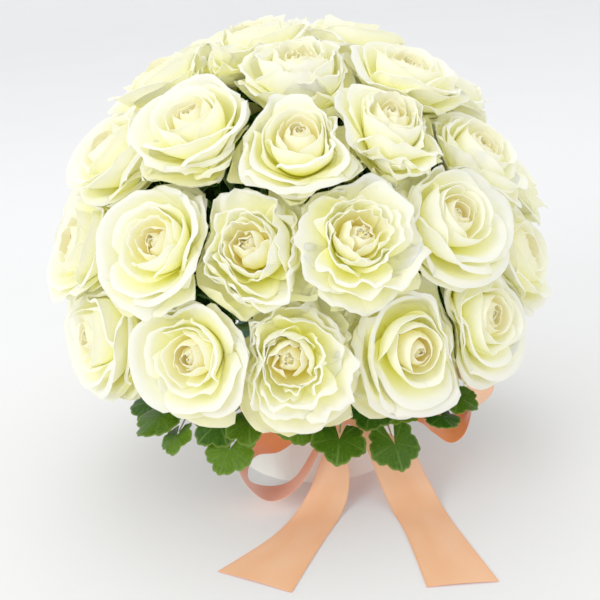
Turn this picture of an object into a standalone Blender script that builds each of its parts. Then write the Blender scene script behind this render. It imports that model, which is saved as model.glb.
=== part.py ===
"""Rose box arrangement: a ball of white roses on foam in a round box, with leaves and a ribbon bow.

Metres, +Z up. The origin is the centre of the box's flat underside, and -Y is the front.
"""

import math
import random

import bmesh
import bpy
import numpy as np
from mathutils import Matrix, Vector

# Driving dimensions
GAP = 0.0003
BOX_RADIUS = 0.070
BOX_HEIGHT = 0.098
BOX_WALL = 0.0018
LINER_WALL = 0.0012
LINER_DROP = 0.004
FOAM_TOP = 0.150
FOAM_SHOULDER = 0.124
FOAM_SHOULDER_RADIUS = 0.060
ROUND_STEPS = 32
FOAM_STEPS = 16
DOME_STEPS = 4

BALL_CENTRE = np.array([-0.006, 0.0, 0.168])
STEM_FOCUS = np.array([0.0, 0.0, 0.112])
EYE_RADIUS = 0.183
EYE_HEIGHT = 0.038
STEM_START = 0.037
STEM_RADIUS = 0.0026
HOLE_START = 0.0362
HOLE_RADIUS = 0.0038
HOLE_SIDES = 5
HOLE_LENGTH = 0.080

# Roses at the front: azimuth to the right of the front and elevation, in degrees, from the ball's centre
FRONT_ROSES = [
    (-26, -3), (-4, -4), (24, -5), (46, -4), (-60, -6),
    (-35, 21), (-11, 21), (13, 22), (40, 21), (66, 6), (-70, 15),
    (-69, 39), (-34, 49), (2, 44), (33, 45), (60, 32), (87, 19),
    (-90, 58), (6, 66), (62, 57), (92, 44), (-70, 82), (122, 71),
]
# Rings that close the ball at the back: elevation, first azimuth, last azimuth, number of roses
BACK_RINGS = [(-4, 94, 272, 7), (20, 108, 262, 6), (44, 120, 248, 4), (64, 160, 228, 2)]
SPREAD_STEPS = 80
SPREAD_ANGLE = math.radians(27)
SPREAD_RATE = 0.12
LOWEST_RING = math.radians(-8)

# Rose blooms
ROSE_SEED = 700
PETAL_THICKNESS = 0.0009
CORE_COLUMNS = 8
NECK_LENGTH = 0.004
NECK_HEIGHT = 0.012
EYE_DEPTH = 0.0405
EDGE_RISE = 0.8
# Rings from the hip to the eye: height, radius, how far petal edges step out, turn of the ring in columns
CORE_LAYERS = [
    (0.0020, 0.0068, 0.0, 0),
    (0.0065, 0.0088, 0.0, 0),
    (0.0110, 0.0095, 0.0, 0),
    (0.0480, 0.0200, 0.0024, 0),
    (0.0400, 0.0145, 0.0012, 0),
    (0.0485, 0.0085, 0.0016, 1),
]
# Guard petals, outer and inner ring: radius and height of the shoulder, radius and height of the curled edge,
# how far the sides are pulled in and how far they are lifted
GUARD_RINGS = [
    (0.0380, 0.0330, 0.0520, 0.0290, 0.0020, 0.0040),
    (0.0290, 0.0400, 0.0395, 0.0435, 0.0015, 0.0025),
]
GUARD_SHOULDER_ANGLE = math.radians(40)
GUARD_EDGE_ANGLE = math.radians(25)
GUARD_REACH_RANGE = (0.95, 1.05)
GUARD_LIFT = 0.0015
GUARD_LEAN = 0.05
# Each bloom keeps to its own space between its neighbours: the gap left and where petals start to ease off
CELL_GAP = 0.0008
CELL_MARGIN = 0.0065
EASE_ROUNDS = 4
NEIGHBOUR_ANGLE = math.radians(60)
SIDE_HINT = np.array([0.31, 0.12, 1.0])
CROWD_LIFTS = (0.3, 0.6)
BLOOM_RADIUS = 0.0395
BLOOM_SCALE_RANGE = (0.84, 1.24)
SKIRT_LIMIT = math.radians(-8)
SKIRT_BELOW = math.radians(34)

# Leaves under the roses
LEAF_THICKNESS = 0.0008
LEAF_LOBES = 5
LEAF_CUT = 0.80
LEAF_NOTCH = 0.40
LEAF_DROOP = 0.22
LEAF_STEM_RADIUS = 0.0013
STALK_RADIUS = 0.0008
FORK_START = 0.3
FORK_LENGTH = 0.0024
LEAF_FACING = math.radians(38)
SPRIG_RIM_Z = 0.1035
# A sprig's stem: distances from the box's axis and drops from the rim height, from the foam outwards
SPRIG_PATH = [(0.046, 0.0), (0.078, 0.0002), (0.098, 0.008), (0.113, 0.022)]
SPRIG_HOLE_RADIUS = 0.0022
SPRIG_HOLE_GAP = 0.0006
# Sprigs: azimuth of the stem, then each leaf's azimuth, distance from the box's axis, height and size
SPRIGS = [
    (-58, [(-56, 0.149, 0.077, 0.022), (-49, 0.147, 0.065, 0.015), (-71, 0.142, 0.074, 0.020),
           (-87, 0.136, 0.078, 0.019)]),
    (-29, [(-36, 0.131, 0.078, 0.020), (-23, 0.134, 0.086, 0.020), (-30, 0.139, 0.063, 0.020)]),
    (8, [(5, 0.138, 0.073, 0.020), (18, 0.124, 0.088, 0.019), (-8, 0.126, 0.084, 0.018)]),
    (24, [(23, 0.136, 0.059, 0.020), (28, 0.124, 0.084, 0.018)]),
    (38, [(36, 0.152, 0.077, 0.014), (44, 0.150, 0.084, 0.015)]),
    (90, [(82, 0.134, 0.082, 0.016), (95, 0.140, 0.071, 0.019), (110, 0.134, 0.079, 0.020)]),
    (145, [(127, 0.136, 0.078, 0.021), (146, 0.140, 0.069, 0.021), (165, 0.135, 0.080, 0.020)]),
    (215, [(193, 0.138, 0.078, 0.021), (214, 0.139, 0.068, 0.020), (235, 0.137, 0.079, 0.021)]),
]

# Ribbon
RIBBON_WIDTH = 0.037
RIBBON_THICKNESS = 0.0009
LOOP_POINTS = 18
TAIL_POINTS = 11
BAND_BOTTOM = 0.049
KNOT_TURN = math.radians(15)
KNOT_SIZE = (0.020, 0.012, 0.023)
KNOT_ROUNDING = 0.0035
KNOT_HEIGHT = 0.068
KNOT_GAP = 0.0006
TABLE_GAP = GAP + RIBBON_THICKNESS / 2
# How far a loop's two edges lie behind and before the knot's middle, where its ends lie up and down
LOOP_EDGES = (-0.002, 0.004)
LOOP_ENDS = {"left": (0.007, -0.004), "right": (0.007, -0.006)}
# Where each tail's two edges leave the knot, to the right of its middle
TAIL_EDGES = {"left": (-0.009, -0.001), "right": (0.001, 0.009)}
# Points of each loop between its ends in the knot: the edge near the box, then the edge that faces forwards
LOOP_CURVES = {
    "left": ([
        (-0.0119, -0.0820, 0.0541), (-0.0330, -0.0820, 0.0375), (-0.0510, -0.0830, 0.0361),
        (-0.0590, -0.0840, 0.0275), (-0.0594, -0.0850, 0.0146), (-0.0440, -0.0850, 0.0087),
        (-0.0278, -0.0840, 0.0113), (-0.0139, -0.0830, 0.0265),
    ], [
        (-0.0151, -0.1000, 0.0805), (-0.0400, -0.1060, 0.0720), (-0.0600, -0.1120, 0.0640),
        (-0.0659, -0.1160, 0.0520), (-0.0605, -0.1180, 0.0308), (-0.0451, -0.1170, 0.0141),
        (-0.0264, -0.1140, 0.0176), (-0.0103, -0.1080, 0.0346),
    ]),
    "right": ([
        (0.062, -0.052, 0.080), (0.098, -0.042, 0.086), (0.138, -0.048, 0.079),
        (0.1404, -0.054, 0.0625), (0.1273, -0.058, 0.0513), (0.1144, -0.058, 0.0488),
        (0.1046, -0.056, 0.0452), (0.0915, -0.060, 0.0491), (0.0718, -0.066, 0.0582),
    ], [
        (0.060, -0.078, 0.077), (0.090, -0.078, 0.082), (0.110, -0.074, 0.084),
        (0.116, -0.080, 0.0735), (0.118, -0.082, 0.0585), (0.1114, -0.084, 0.0400),
        (0.1003, -0.084, 0.0340), (0.0876, -0.084, 0.0440), (0.0733, -0.082, 0.0550),
    ]),
}
# Points of each tail below the knot: its left edge, then its right edge; the last three lie on the table
TAIL_CURVES = {
    "left": ([
        (0.000, -0.090, 0.036), (-0.012, -0.104, 0.014), (-0.027, -0.122, 0.001),
        (-0.046, -0.150, 0.0), (-0.082, -0.186, 0.0),
    ], [
        (0.019, -0.089, 0.036), (0.018, -0.105, 0.014), (0.010, -0.124, 0.001),
        (-0.008, -0.164, 0.0), (-0.030, -0.218, 0.0),
    ]),
    "right": ([
        (0.034, -0.088, 0.036), (0.042, -0.104, 0.014), (0.049, -0.124, 0.001),
        (0.056, -0.160, 0.0), (0.062, -0.224, 0.0),
    ], [
        (0.066, -0.086, 0.036), (0.079, -0.101, 0.014), (0.087, -0.121, 0.001),
        (0.094, -0.155, 0.0), (0.111, -0.224, 0.0),
    ]),
}


def clear_scene():
    """Remove every object, so the script starts from an empty scene."""
    for scene_object in list(bpy.data.objects):
        bpy.data.objects.remove(scene_object, do_unlink=True)


def make_collection(name):
    """Return a new collection linked to the scene."""
    collection = bpy.data.collections.new(name)
    bpy.context.scene.collection.children.link(collection)
    return collection


def make_material(name, colour, roughness, metallic=0.0):
    """Return a Principled material with one colour."""
    material = bpy.data.materials.new(name)
    material.use_nodes = True
    shader = material.node_tree.nodes["Principled BSDF"]
    shader.inputs["Base Color"].default_value = (*colour, 1.0)
    shader.inputs["Roughness"].default_value = roughness
    shader.inputs["Metallic"].default_value = metallic
    return material


def add_mesh(name, vertices, faces, collection, material):
    """Return a new object from points and faces, its normals turned outwards."""
    mesh = bpy.data.meshes.new(name)
    mesh.from_pydata([tuple(point) for point in vertices], [], faces)
    working = bmesh.new()
    working.from_mesh(mesh)
    bmesh.ops.triangulate(working, faces=working.faces)
    bmesh.ops.recalc_face_normals(working, faces=working.faces)
    working.to_mesh(mesh)
    working.free()
    mesh.materials.append(material)
    created = bpy.data.objects.new(name, mesh)
    collection.objects.link(created)
    return created


def unit(vector):
    """Return the vector at length one."""
    return vector / np.linalg.norm(vector)


def direction(azimuth, elevation):
    """Return the unit vector at an azimuth right of the front and an elevation, in radians."""
    level = math.cos(elevation)
    return np.array([math.sin(azimuth) * level, -math.cos(azimuth) * level, math.sin(elevation)])


def sheet_solid(grid, thickness):
    """Return points and faces of a thin closed sheet, half its thickness each side of a grid of points."""
    rows, columns = grid.shape[:2]
    along = np.gradient(grid, axis=0)
    across = np.gradient(grid, axis=1)
    normals = np.cross(along, across)
    normals /= np.linalg.norm(normals, axis=2, keepdims=True)
    front = (grid + normals * thickness / 2).reshape(-1, 3)
    back = (grid - normals * thickness / 2).reshape(-1, 3)
    count = rows * columns
    faces = []
    for row in range(rows - 1):
        for column in range(columns - 1):
            corner = row * columns + column
            lower = (corner, corner + 1, corner + columns + 1)
            upper = (corner, corner + columns + 1, corner + columns)
            for triangle in (lower, upper):
                faces.append(triangle)
                faces.append(tuple(count + point for point in reversed(triangle)))
    border = [column for column in range(columns)]
    border += [row * columns + columns - 1 for row in range(1, rows)]
    border += [(rows - 1) * columns + column for column in range(columns - 2, -1, -1)]
    border += [row * columns for row in range(rows - 2, 0, -1)]
    for place, point in enumerate(border):
        following = border[(place + 1) % len(border)]
        faces.append((point, point + count, following + count, following))
    return np.vstack([front, back]), faces


def turned(name, profile, steps, collection, material):
    """Return a turned solid: a profile in the XZ plane, closed if it stands clear of the axis, round Z."""
    mesh = bpy.data.meshes.new(name)
    count = len(profile)
    edges = [(place, place + 1) for place in range(count - 1)]
    if profile[0][0] > 0:
        edges.append((count - 1, 0))
    mesh.from_pydata([(radius, 0.0, height) for radius, height in profile], edges, [])
    mesh.materials.append(material)
    created = bpy.data.objects.new(name, mesh)
    collection.objects.link(created)
    screw = created.modifiers.new("turn", "SCREW")
    screw.steps = steps
    screw.render_steps = steps
    screw.use_merge_vertices = True
    screw.merge_threshold = 0.00005
    mesh.shade_smooth()
    return created


def spread_roses():
    """Return the roses' directions from the ball's centre: the front as set, the back evenly spread."""
    fixed = [direction(math.radians(azimuth), math.radians(elevation)) for azimuth, elevation in FRONT_ROSES]
    free = []
    for elevation, first, last, number in BACK_RINGS:
        for place in range(number):
            share = place / (number - 1) if number > 1 else 0.0
            azimuth = first + (last - first) * share
            free.append(direction(math.radians(azimuth), math.radians(elevation)))
    for _ in range(SPREAD_STEPS):
        moved = []
        for place, current in enumerate(free):
            others = fixed + free[:place] + free[place + 1:]
            push = np.zeros(3)
            for other in others:
                angle = math.acos(max(-1.0, min(1.0, float(current @ other))))
                if angle < SPREAD_ANGLE:
                    push += unit(current - other) * (SPREAD_ANGLE - angle)
            shifted = unit(current + push * SPREAD_RATE)
            height = max(math.sin(LOWEST_RING), shifted[2])
            level = math.sqrt(1 - height * height) / math.hypot(shifted[0], shifted[1])
            moved.append(np.array([shifted[0] * level, shifted[1] * level, height]))
        free = moved
    return fixed + free


def rose_axes(directions):
    """Return each rose's axis from the stems' meeting point, and the distance of its eye along it."""
    axes = []
    for outward in directions:
        reach = BALL_CENTRE + outward * EYE_RADIUS - STEM_FOCUS
        axes.append((unit(reach), float(np.linalg.norm(reach))))
    return axes


def cell_planes(place, axes, directions):
    """Return the normals of the planes, all through the stems' meeting point, that bound a rose's space."""
    own = axes[place][0]
    normals = []
    for other, (axis, _) in enumerate(axes):
        if other != place and own @ axis > math.cos(NEIGHBOUR_ANGLE):
            normals.append(unit(own - axis))
    if directions[place][2] < math.sin(SKIRT_BELOW):
        level = unit(np.array([own[0], own[1], 0.0]))
        normals.append(np.array([0, 0, math.cos(SKIRT_LIMIT)]) - level * math.sin(SKIRT_LIMIT))
    return normals


def keep_in_cell(points, normals, lift):
    """Ease points away from the planes of a rose's space and lift them, as petals that meet stand up."""
    shaped = points.reshape(-1, 3).copy()
    room = CELL_MARGIN - CELL_GAP
    for _ in range(EASE_ROUNDS):
        for normal in normals:
            depth = (shaped - STEM_FOCUS) @ normal
            eased = CELL_GAP + room * np.exp((np.minimum(depth, CELL_MARGIN) - CELL_MARGIN) / room)
            shift = np.where(depth < CELL_MARGIN, eased - depth, 0.0)
            shift = np.where(shift > 0, shift, 0.0)
            shaped += shift[:, None] * (normal + lift)
    return shaped.reshape(points.shape)


def bloom_frame(axis, eye_distance):
    """Return the turn and the place of a bloom whose base is its own origin and whose axis is its own Z."""
    side = unit(np.cross(axis, SIDE_HINT))
    rotation = np.column_stack([side, np.cross(axis, side), axis])
    return rotation, STEM_FOCUS + axis * (eye_distance - EYE_HEIGHT)


def ring_points(height, radius, count, spin):
    """Return a level ring of evenly spaced points round the bloom's axis."""
    angles = [math.tau * place / count + spin for place in range(count)]
    return [(radius * math.cos(angle), radius * math.sin(angle), height) for angle in angles]


def core_points(spin):
    """Return the rings of the hip and the swirled inner petals, and the point that closes them."""
    points = []
    for height, radius, step, turn in CORE_LAYERS:
        for column in range(CORE_COLUMNS):
            out = step if (column + turn) % 2 else -step
            angle = math.tau * column / CORE_COLUMNS + spin
            reach = radius + out
            points.append((reach * math.cos(angle), reach * math.sin(angle), height + EDGE_RISE * out))
    points.append((0.0, 0.0, EYE_DEPTH))
    return np.array(points)


def petal_rows(ring, turn, rotation, base, normals, draw):
    """Return the two outer rows of a guard petal's middle sheet: the wide shoulder and the curled edge."""
    shoulder_radius, shoulder_height, edge_radius, edge_height, side_pull, side_lift = GUARD_RINGS[ring]
    reach = draw.uniform(*GUARD_REACH_RANGE)
    lift = draw.uniform(-GUARD_LIFT, GUARD_LIFT)
    lean = draw.uniform(-GUARD_LEAN, GUARD_LEAN)
    rows = [
        (shoulder_radius, shoulder_height, GUARD_SHOULDER_ANGLE),
        (edge_radius, edge_height, GUARD_EDGE_ANGLE),
    ]
    grid = np.zeros((len(rows), 3, 3))
    for row, (radius, height, half_angle) in enumerate(rows):
        for column, side in enumerate((-1, 0, 1)):
            angle = turn + side * half_angle + lean * row
            out = (radius - abs(side) * side_pull) * reach * cell_room(angle, rotation, base, normals)
            up = height + abs(side) * side_lift + lift
            grid[row, column] = (out * math.cos(angle), out * math.sin(angle), up)
    return grid @ rotation.T + base


def cell_room(angle, rotation, base, normals):
    """Return how far a bloom opens at an angle round its axis, as a share of the usual radius."""
    middle = base + rotation[:, 2] * EYE_HEIGHT - STEM_FOCUS
    outward = rotation @ np.array([math.cos(angle), math.sin(angle), 0.0])
    rooms = [(CELL_GAP - middle @ normal) / (outward @ normal) for normal in normals if outward @ normal < 0]
    low, high = BLOOM_SCALE_RANGE
    return max(low, min([high] + [room / BLOOM_RADIUS for room in rooms]))


def rose_solid(stem_length, rotation, base, normals, draw):
    """Return points and faces of a rose: petals grow from the faces of two bands above its hip."""
    spin = draw.uniform(0.0, math.tau)
    core = core_points(spin)
    placed = core @ rotation.T + base
    high = core[:, 2] > NECK_HEIGHT
    placed[high] = keep_in_cell(placed[high], normals, rotation[:, 2] * CROWD_LIFTS[1])
    points = list(placed)
    faces = []
    last = (len(CORE_LAYERS) - 1) * CORE_COLUMNS
    for column in range(CORE_COLUMNS):
        following = (column + 1) % CORE_COLUMNS
        faces.append((last + column, last + following, last + CORE_COLUMNS))
        for layer in range(len(CORE_LAYERS) - 1):
            low = layer * CORE_COLUMNS
            high_ring = low + CORE_COLUMNS
            root = (low + column, low + following, high_ring + following, high_ring + column)
            if layer in (0, 1) and column % 2 == layer:
                turn = math.tau * (column + 0.5) / CORE_COLUMNS + spin
                rows = petal_rows(layer, turn, rotation, base, normals, draw)
                rows = keep_in_cell(rows, normals, rotation[:, 2] * CROWD_LIFTS[layer])
                faces += grow_petal(points, root, rows, rotation[:, 2])
            else:
                faces.append(root)
    faces += grow_stem(points, stem_length, rotation, base, spin)
    return np.array(points), faces


def grow_stem(points, stem_length, rotation, base, spin):
    """Add the stem's two rings and return its faces: it widens into the hip's lowest ring."""
    sides = CORE_COLUMNS // 2
    top = len(points)
    foot = top + sides
    rings = ring_points(-NECK_LENGTH, STEM_RADIUS, sides, spin)
    rings += ring_points(-stem_length, STEM_RADIUS, sides, spin)
    points.extend(np.array(rings) @ rotation.T + base)
    faces = [tuple(range(foot, foot + sides))]
    for side in range(sides):
        following = (side + 1) % sides
        left, middle, right = 2 * side, 2 * side + 1, 2 * following
        faces.append((foot + side, foot + following, top + following, top + side))
        faces += [(top + side, middle, left), (top + side, top + following, middle)]
        faces.append((top + following, right, middle))
    return faces


def grow_petal(points, root, rows, axis):
    """Add a petal's outer and inner points, and return its faces: it grows from the face given as root."""
    lower_left, lower_right, upper_right, upper_left = root
    left = (points[lower_left] + points[upper_left]) / 2
    right = (points[lower_right] + points[upper_right]) / 2
    sheet = np.concatenate([np.array([[left, (left + right) / 2, right]]), rows])
    normals = np.cross(np.gradient(sheet, axis=0), np.gradient(sheet, axis=1))
    normals /= np.linalg.norm(normals, axis=2, keepdims=True)
    if normals[1, 1] @ axis < 0:
        normals = -normals
    half = normals[1:] * PETAL_THICKNESS / 2
    first = len(points)
    for row in range(2):
        points.extend(sheet[row + 1] - half[row])
        points.extend(sheet[row + 1] + half[row])
    outer, inner, outer_edge, inner_edge = np.arange(first, first + 12).reshape(4, 3).tolist()
    faces = [
        (lower_left, outer[1], outer[0]), (lower_left, lower_right, outer[1]),
        (lower_right, outer[2], outer[1]), (upper_left, inner[0], inner[1]),
        (upper_left, inner[1], upper_right), (upper_right, inner[1], inner[2]),
        (lower_left, outer[0], inner[0], upper_left), (lower_right, upper_right, inner[2], outer[2]),
        (outer[0], outer_edge[0], inner_edge[0], inner[0]),
        (outer[2], inner[2], inner_edge[2], outer_edge[2]),
    ]
    for column in range(2):
        near, far = column, column + 1
        faces.append((outer[near], outer[far], outer_edge[far]))
        faces.append((outer[near], outer_edge[far], outer_edge[near]))
        faces.append((inner[near], inner_edge[far], inner[far]))
        faces.append((inner[near], inner_edge[near], inner_edge[far]))
        faces.append((outer_edge[near], outer_edge[far], inner_edge[far], inner_edge[near]))
    return faces


def build_rose(name, place, axes, directions, collection, material):
    """Build one rose in one solid: stem, hip, swirled inner petals and two rings of guard petals."""
    draw = random.Random(ROSE_SEED + place)
    axis, eye_distance = axes[place]
    normals = cell_planes(place, axes, directions)
    rotation, base = bloom_frame(axis, eye_distance)
    stem_length = eye_distance - EYE_HEIGHT - STEM_START
    points, faces = rose_solid(stem_length, rotation, base, normals, draw)
    return add_mesh(name, points, faces, collection, material)


def build_box(collection, material):
    """Build the round paper box: a flat-bottomed cup with a plain rim."""
    inner = BOX_RADIUS - BOX_WALL
    profile = [
        (0.0, BOX_WALL), (inner, BOX_WALL), (inner, BOX_HEIGHT), (BOX_RADIUS, BOX_HEIGHT),
        (BOX_RADIUS, 0.0), (0.0, 0.0),
    ]
    box = turned("box", profile, ROUND_STEPS, collection, material)
    box.data.set_sharp_from_angle(angle=math.radians(30))
    return box


def build_liner(collection, material):
    """Build the waterproof cup that lines the box."""
    outer = BOX_RADIUS - BOX_WALL - GAP
    inner = outer - LINER_WALL
    bottom = BOX_WALL + GAP
    top = BOX_HEIGHT - LINER_DROP
    profile = [
        (0.0, bottom + LINER_WALL), (inner, bottom + LINER_WALL), (inner, top), (outer, top),
        (outer, bottom), (0.0, bottom),
    ]
    return turned("liner", profile, ROUND_STEPS, collection, material)


def build_foam(axes, sprig_lines, collection, cutters, material):
    """Build the soaked foam: a cylinder in the liner, domed above the rim, with a hole for each stem."""
    inner = BOX_RADIUS - BOX_WALL - GAP - LINER_WALL
    radius = inner * math.cos(math.pi / ROUND_STEPS) - GAP
    bottom = BOX_WALL + GAP + LINER_WALL + GAP
    profile = [(0.0, FOAM_TOP)]
    for step in range(1, DOME_STEPS + 1):
        angle = math.pi / 2 * step / DOME_STEPS
        height = FOAM_SHOULDER + (FOAM_TOP - FOAM_SHOULDER) * math.cos(angle)
        profile.append((FOAM_SHOULDER_RADIUS * math.sin(angle), height))
    profile += [(radius, BOX_HEIGHT - LINER_DROP), (radius, bottom), (0.0, bottom)]
    foam = turned("foam", profile, FOAM_STEPS, collection, material)
    for place, (axis, _) in enumerate(axes):
        add_hole(f"stem_hole_{place + 1:02d}", STEM_FOCUS + axis * HOLE_START, axis, HOLE_RADIUS, cutters)
    for place, (start, axis) in enumerate(sprig_lines):
        mouth = start - axis * SPRIG_HOLE_GAP
        add_hole(f"sprig_hole_{place + 1:02d}", mouth, axis, SPRIG_HOLE_RADIUS, cutters)
    cut = foam.modifiers.new("holes", "BOOLEAN")
    cut.operation = "DIFFERENCE"
    cut.operand_type = "COLLECTION"
    cut.collection = cutters
    cut.solver = "MANIFOLD"
    return foam


def add_hole(name, start, axis, radius, cutters):
    """Add a few-sided cutter that runs outwards from the start."""
    working = bmesh.new()
    bmesh.ops.create_cone(
        working, cap_ends=True, segments=HOLE_SIDES, radius1=radius, radius2=radius, depth=HOLE_LENGTH)
    turn = Vector(axis).to_track_quat("Z", "Y").to_matrix().to_4x4()
    place = Matrix.Translation(Vector(start + axis * HOLE_LENGTH / 2)) @ turn
    bmesh.ops.transform(working, matrix=place, verts=working.verts)
    mesh = bpy.data.meshes.new(name)
    working.to_mesh(mesh)
    working.free()
    cutter = bpy.data.objects.new(name, mesh)
    cutter.hide_render = True
    cutter.display_type = "WIRE"
    cutters.objects.link(cutter)


def tube_solid(path, radius):
    """Return points and faces of a four-sided tube: its side faces in order along the path, then its ends."""
    sides = 4
    points = []
    count = len(path)
    for place, centre in enumerate(path):
        before = path[max(place - 1, 0)]
        after = path[min(place + 1, count - 1)]
        along = unit(after - before)
        side = unit(np.cross(along, np.array([0.0, 0.0, 1.0])))
        other = np.cross(along, side)
        for step in range(sides):
            angle = math.tau * (step + 0.5) / sides
            points.append(centre + radius * (math.cos(angle) * side + math.sin(angle) * other))
    faces = []
    for place in range(count - 1):
        for step in range(sides):
            following = (step + 1) % sides
            low = place * sides
            faces.append((low + step, low + following, low + sides + following, low + sides + step))
    faces += [tuple(range(sides))[::-1], tuple(range((count - 1) * sides, count * sides))]
    return points, faces


def grow_leaf(points, root_face, centre, size, outward):
    """Add a round lobed leaf that grows from a face of the stem, and return its faces."""
    corners = np.array([points[corner] for corner in root_face])
    fork = corners.mean(axis=0)
    lengthwise = unit(centre - fork)
    normal = unit(outward - lengthwise * (outward @ lengthwise))
    sideways = np.cross(normal, lengthwise)
    half = normal * LEAF_THICKNESS / 2
    width = sideways * STALK_RADIUS
    ideal = fork + STALK_RADIUS * np.array(
        [sideways + normal, normal - sideways, -sideways - normal, sideways - normal])
    turns = [np.linalg.norm(np.roll(corners, -turn, axis=0) - ideal) for turn in range(4)]
    best = turns.index(min(turns))
    root_corners = root_face[best:] + root_face[:best]
    root = centre - lengthwise * size * LEAF_NOTCH
    count = 2 * LEAF_LOBES
    outline = [root - width]
    for step in range(1, count):
        angle = math.pi + math.tau * step / count
        reach = size if step % 2 else size * LEAF_CUT
        droop = -LEAF_DROOP * size * (1 + math.cos(angle)) / 2
        outline.append(
            centre + reach * (math.cos(angle) * lengthwise + math.sin(angle) * sideways) + droop * normal)
    outline.append(root + width)
    front = len(points)
    last = len(outline) - 1
    back = front + len(outline)
    middle = back + len(outline)
    points.extend(point + half for point in outline)
    points.extend(point - half for point in outline)
    points.extend([centre + half, centre - half])
    first, second, third, fourth = root_corners
    faces = [
        (first, front + last, front, second), (third, back, back + last, fourth),
        (second, front, back, third), (fourth, back + last, front + last, first),
        (middle, front + last, front), (middle + 1, back, back + last),
    ]
    for step in range(last):
        faces.append((middle, front + step, front + step + 1))
        faces.append((middle + 1, back + step + 1, back + step))
        faces.append((front + step, back + step, back + step + 1, front + step + 1))
    return faces


def sprig_stem(azimuth):
    """Return the path of a leafy stem: out of the foam, over the rim and down outside the box."""
    level = direction(azimuth, 0.0)
    lift = np.array([0.0, 0.0, 1.0])
    return [level * distance + lift * (SPRIG_RIM_Z - drop) for distance, drop in SPRIG_PATH]


def build_sprig(place, azimuth, leaves, collection, material):
    """Build one leafy stem: every leaf grows from a face of the stem, the lowest one from its end."""
    path = sprig_stem(azimuth)
    down = unit(path[3] - path[2])
    stations = path[:3]
    for number in range(len(leaves) - 1):
        share = (number + FORK_START) / len(leaves)
        fork = path[2] * (1 - share) + path[3] * share
        stations += [fork - down * FORK_LENGTH / 2, fork + down * FORK_LENGTH / 2]
    stations.append(path[3])
    points, faces = tube_solid(stations, LEAF_STEM_RADIUS)
    used = []
    grown = []
    from_the_top = sorted(leaves, key=lambda leaf: -leaf[2])
    for number, (leaf_azimuth, distance, height, size) in enumerate(from_the_top):
        centre = direction(math.radians(leaf_azimuth), 0.0) * distance + np.array([0.0, 0.0, height])
        outward = direction(math.radians(leaf_azimuth), LEAF_FACING)
        root_face = faces[-1]
        if number < len(leaves) - 1:
            segment = 4 * (2 * number + 3)
            root_face = max(faces[segment:segment + 4], key=lambda face: facing(points, face, centre))
        used.append(root_face)
        grown += grow_leaf(points, root_face, centre, size, outward)
    kept = [face for face in faces if face not in used]
    return add_mesh(f"leaf_sprig_{place + 1:02d}", points, kept + grown, collection, material)


def facing(points, face, target):
    """Return how squarely a face looks towards a target point."""
    first, second, third, fourth = [points[corner] for corner in face]
    outward = unit(np.cross(third - first, fourth - second))
    return float(outward @ unit(target - (first + third) / 2))


def build_band(collection, material):
    """Build the ribbon band round the box."""
    inner = BOX_RADIUS + GAP
    outer = inner + RIBBON_THICKNESS
    top = BAND_BOTTOM + RIBBON_WIDTH
    profile = [(outer, top), (outer, BAND_BOTTOM), (inner, BAND_BOTTOM), (inner, top)]
    return turned("ribbon_band", profile, ROUND_STEPS, collection, material)


def knot_point(right, out, up):
    """Return a point in the arrangement from a place in the knot's own frame."""
    radius = BOX_RADIUS + GAP + RIBBON_THICKNESS + GAP + KNOT_SIZE[1] / 2 + out
    level = direction(KNOT_TURN, 0.0)
    sideways = np.array([math.cos(KNOT_TURN), math.sin(KNOT_TURN), 0.0])
    return level * radius + sideways * right + np.array([0.0, 0.0, KNOT_HEIGHT + up])


def build_knot(collection, material):
    """Build the bow's knot: a soft rounded block in front of the band."""
    working = bmesh.new()
    bmesh.ops.create_cube(working, size=1.0)
    for vertex in working.verts:
        right, out, up = vertex.co.x * KNOT_SIZE[0], vertex.co.y * KNOT_SIZE[1], vertex.co.z * KNOT_SIZE[2]
        vertex.co = Vector(knot_point(right, -out, up))
    bmesh.ops.recalc_face_normals(working, faces=working.faces)
    mesh = bpy.data.meshes.new("ribbon_knot")
    working.to_mesh(mesh)
    working.free()
    mesh.materials.append(material)
    knot = bpy.data.objects.new("ribbon_knot", mesh)
    collection.objects.link(knot)
    bevel = knot.modifiers.new("round", "BEVEL")
    bevel.width = KNOT_ROUNDING
    bevel.segments = 1
    return knot


def smooth_path(points, count):
    """Return a given number of points on a smooth curve through hand-set points."""
    points = np.array(points)
    last = len(points) - 1
    curve = []
    for step in range(count):
        place = last * step / (count - 1)
        left = min(int(place), last - 1)
        share = place - left
        before = points[max(left - 1, 0)]
        start, end = points[left], points[left + 1]
        after = points[min(left + 2, last)]
        curve.append(0.5 * (
            2 * start + (end - before) * share + (2 * before - 5 * start + 4 * end - after) * share ** 2
            + (3 * start - before - 3 * end + after) * share ** 3))
    return np.array(curve)


def build_strip(name, left_edge, right_edge, count, collection, material):
    """Build a length of ribbon between its two edges, never lower than the table."""
    left = smooth_path(left_edge, count)
    right = smooth_path(right_edge, count)
    grid = np.stack([left, (left + right) / 2, right], axis=1)
    grid[:, :, 2] = np.maximum(grid[:, :, 2], TABLE_GAP)
    points, faces = sheet_solid(grid, RIBBON_THICKNESS)
    strip = add_mesh(name, points, faces, collection, material)
    strip.data.shade_smooth()
    strip.data.set_sharp_from_angle(angle=math.radians(40))
    return strip


def build_loop(side, collection, material):
    """Build one loop of the bow: it leaves the knot high up and comes back below."""
    outward = 1 if side == "right" else -1
    start = outward * (KNOT_SIZE[0] / 2 + KNOT_GAP)
    high, low = LOOP_ENDS[side]
    edges = []
    for out, curve in zip(LOOP_EDGES, LOOP_CURVES[side]):
        edges.append([knot_point(start, out, high), *curve, knot_point(start + outward * GAP, out, low)])
    build_strip("ribbon_loop_" + side, *edges, LOOP_POINTS, collection, material)


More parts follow.
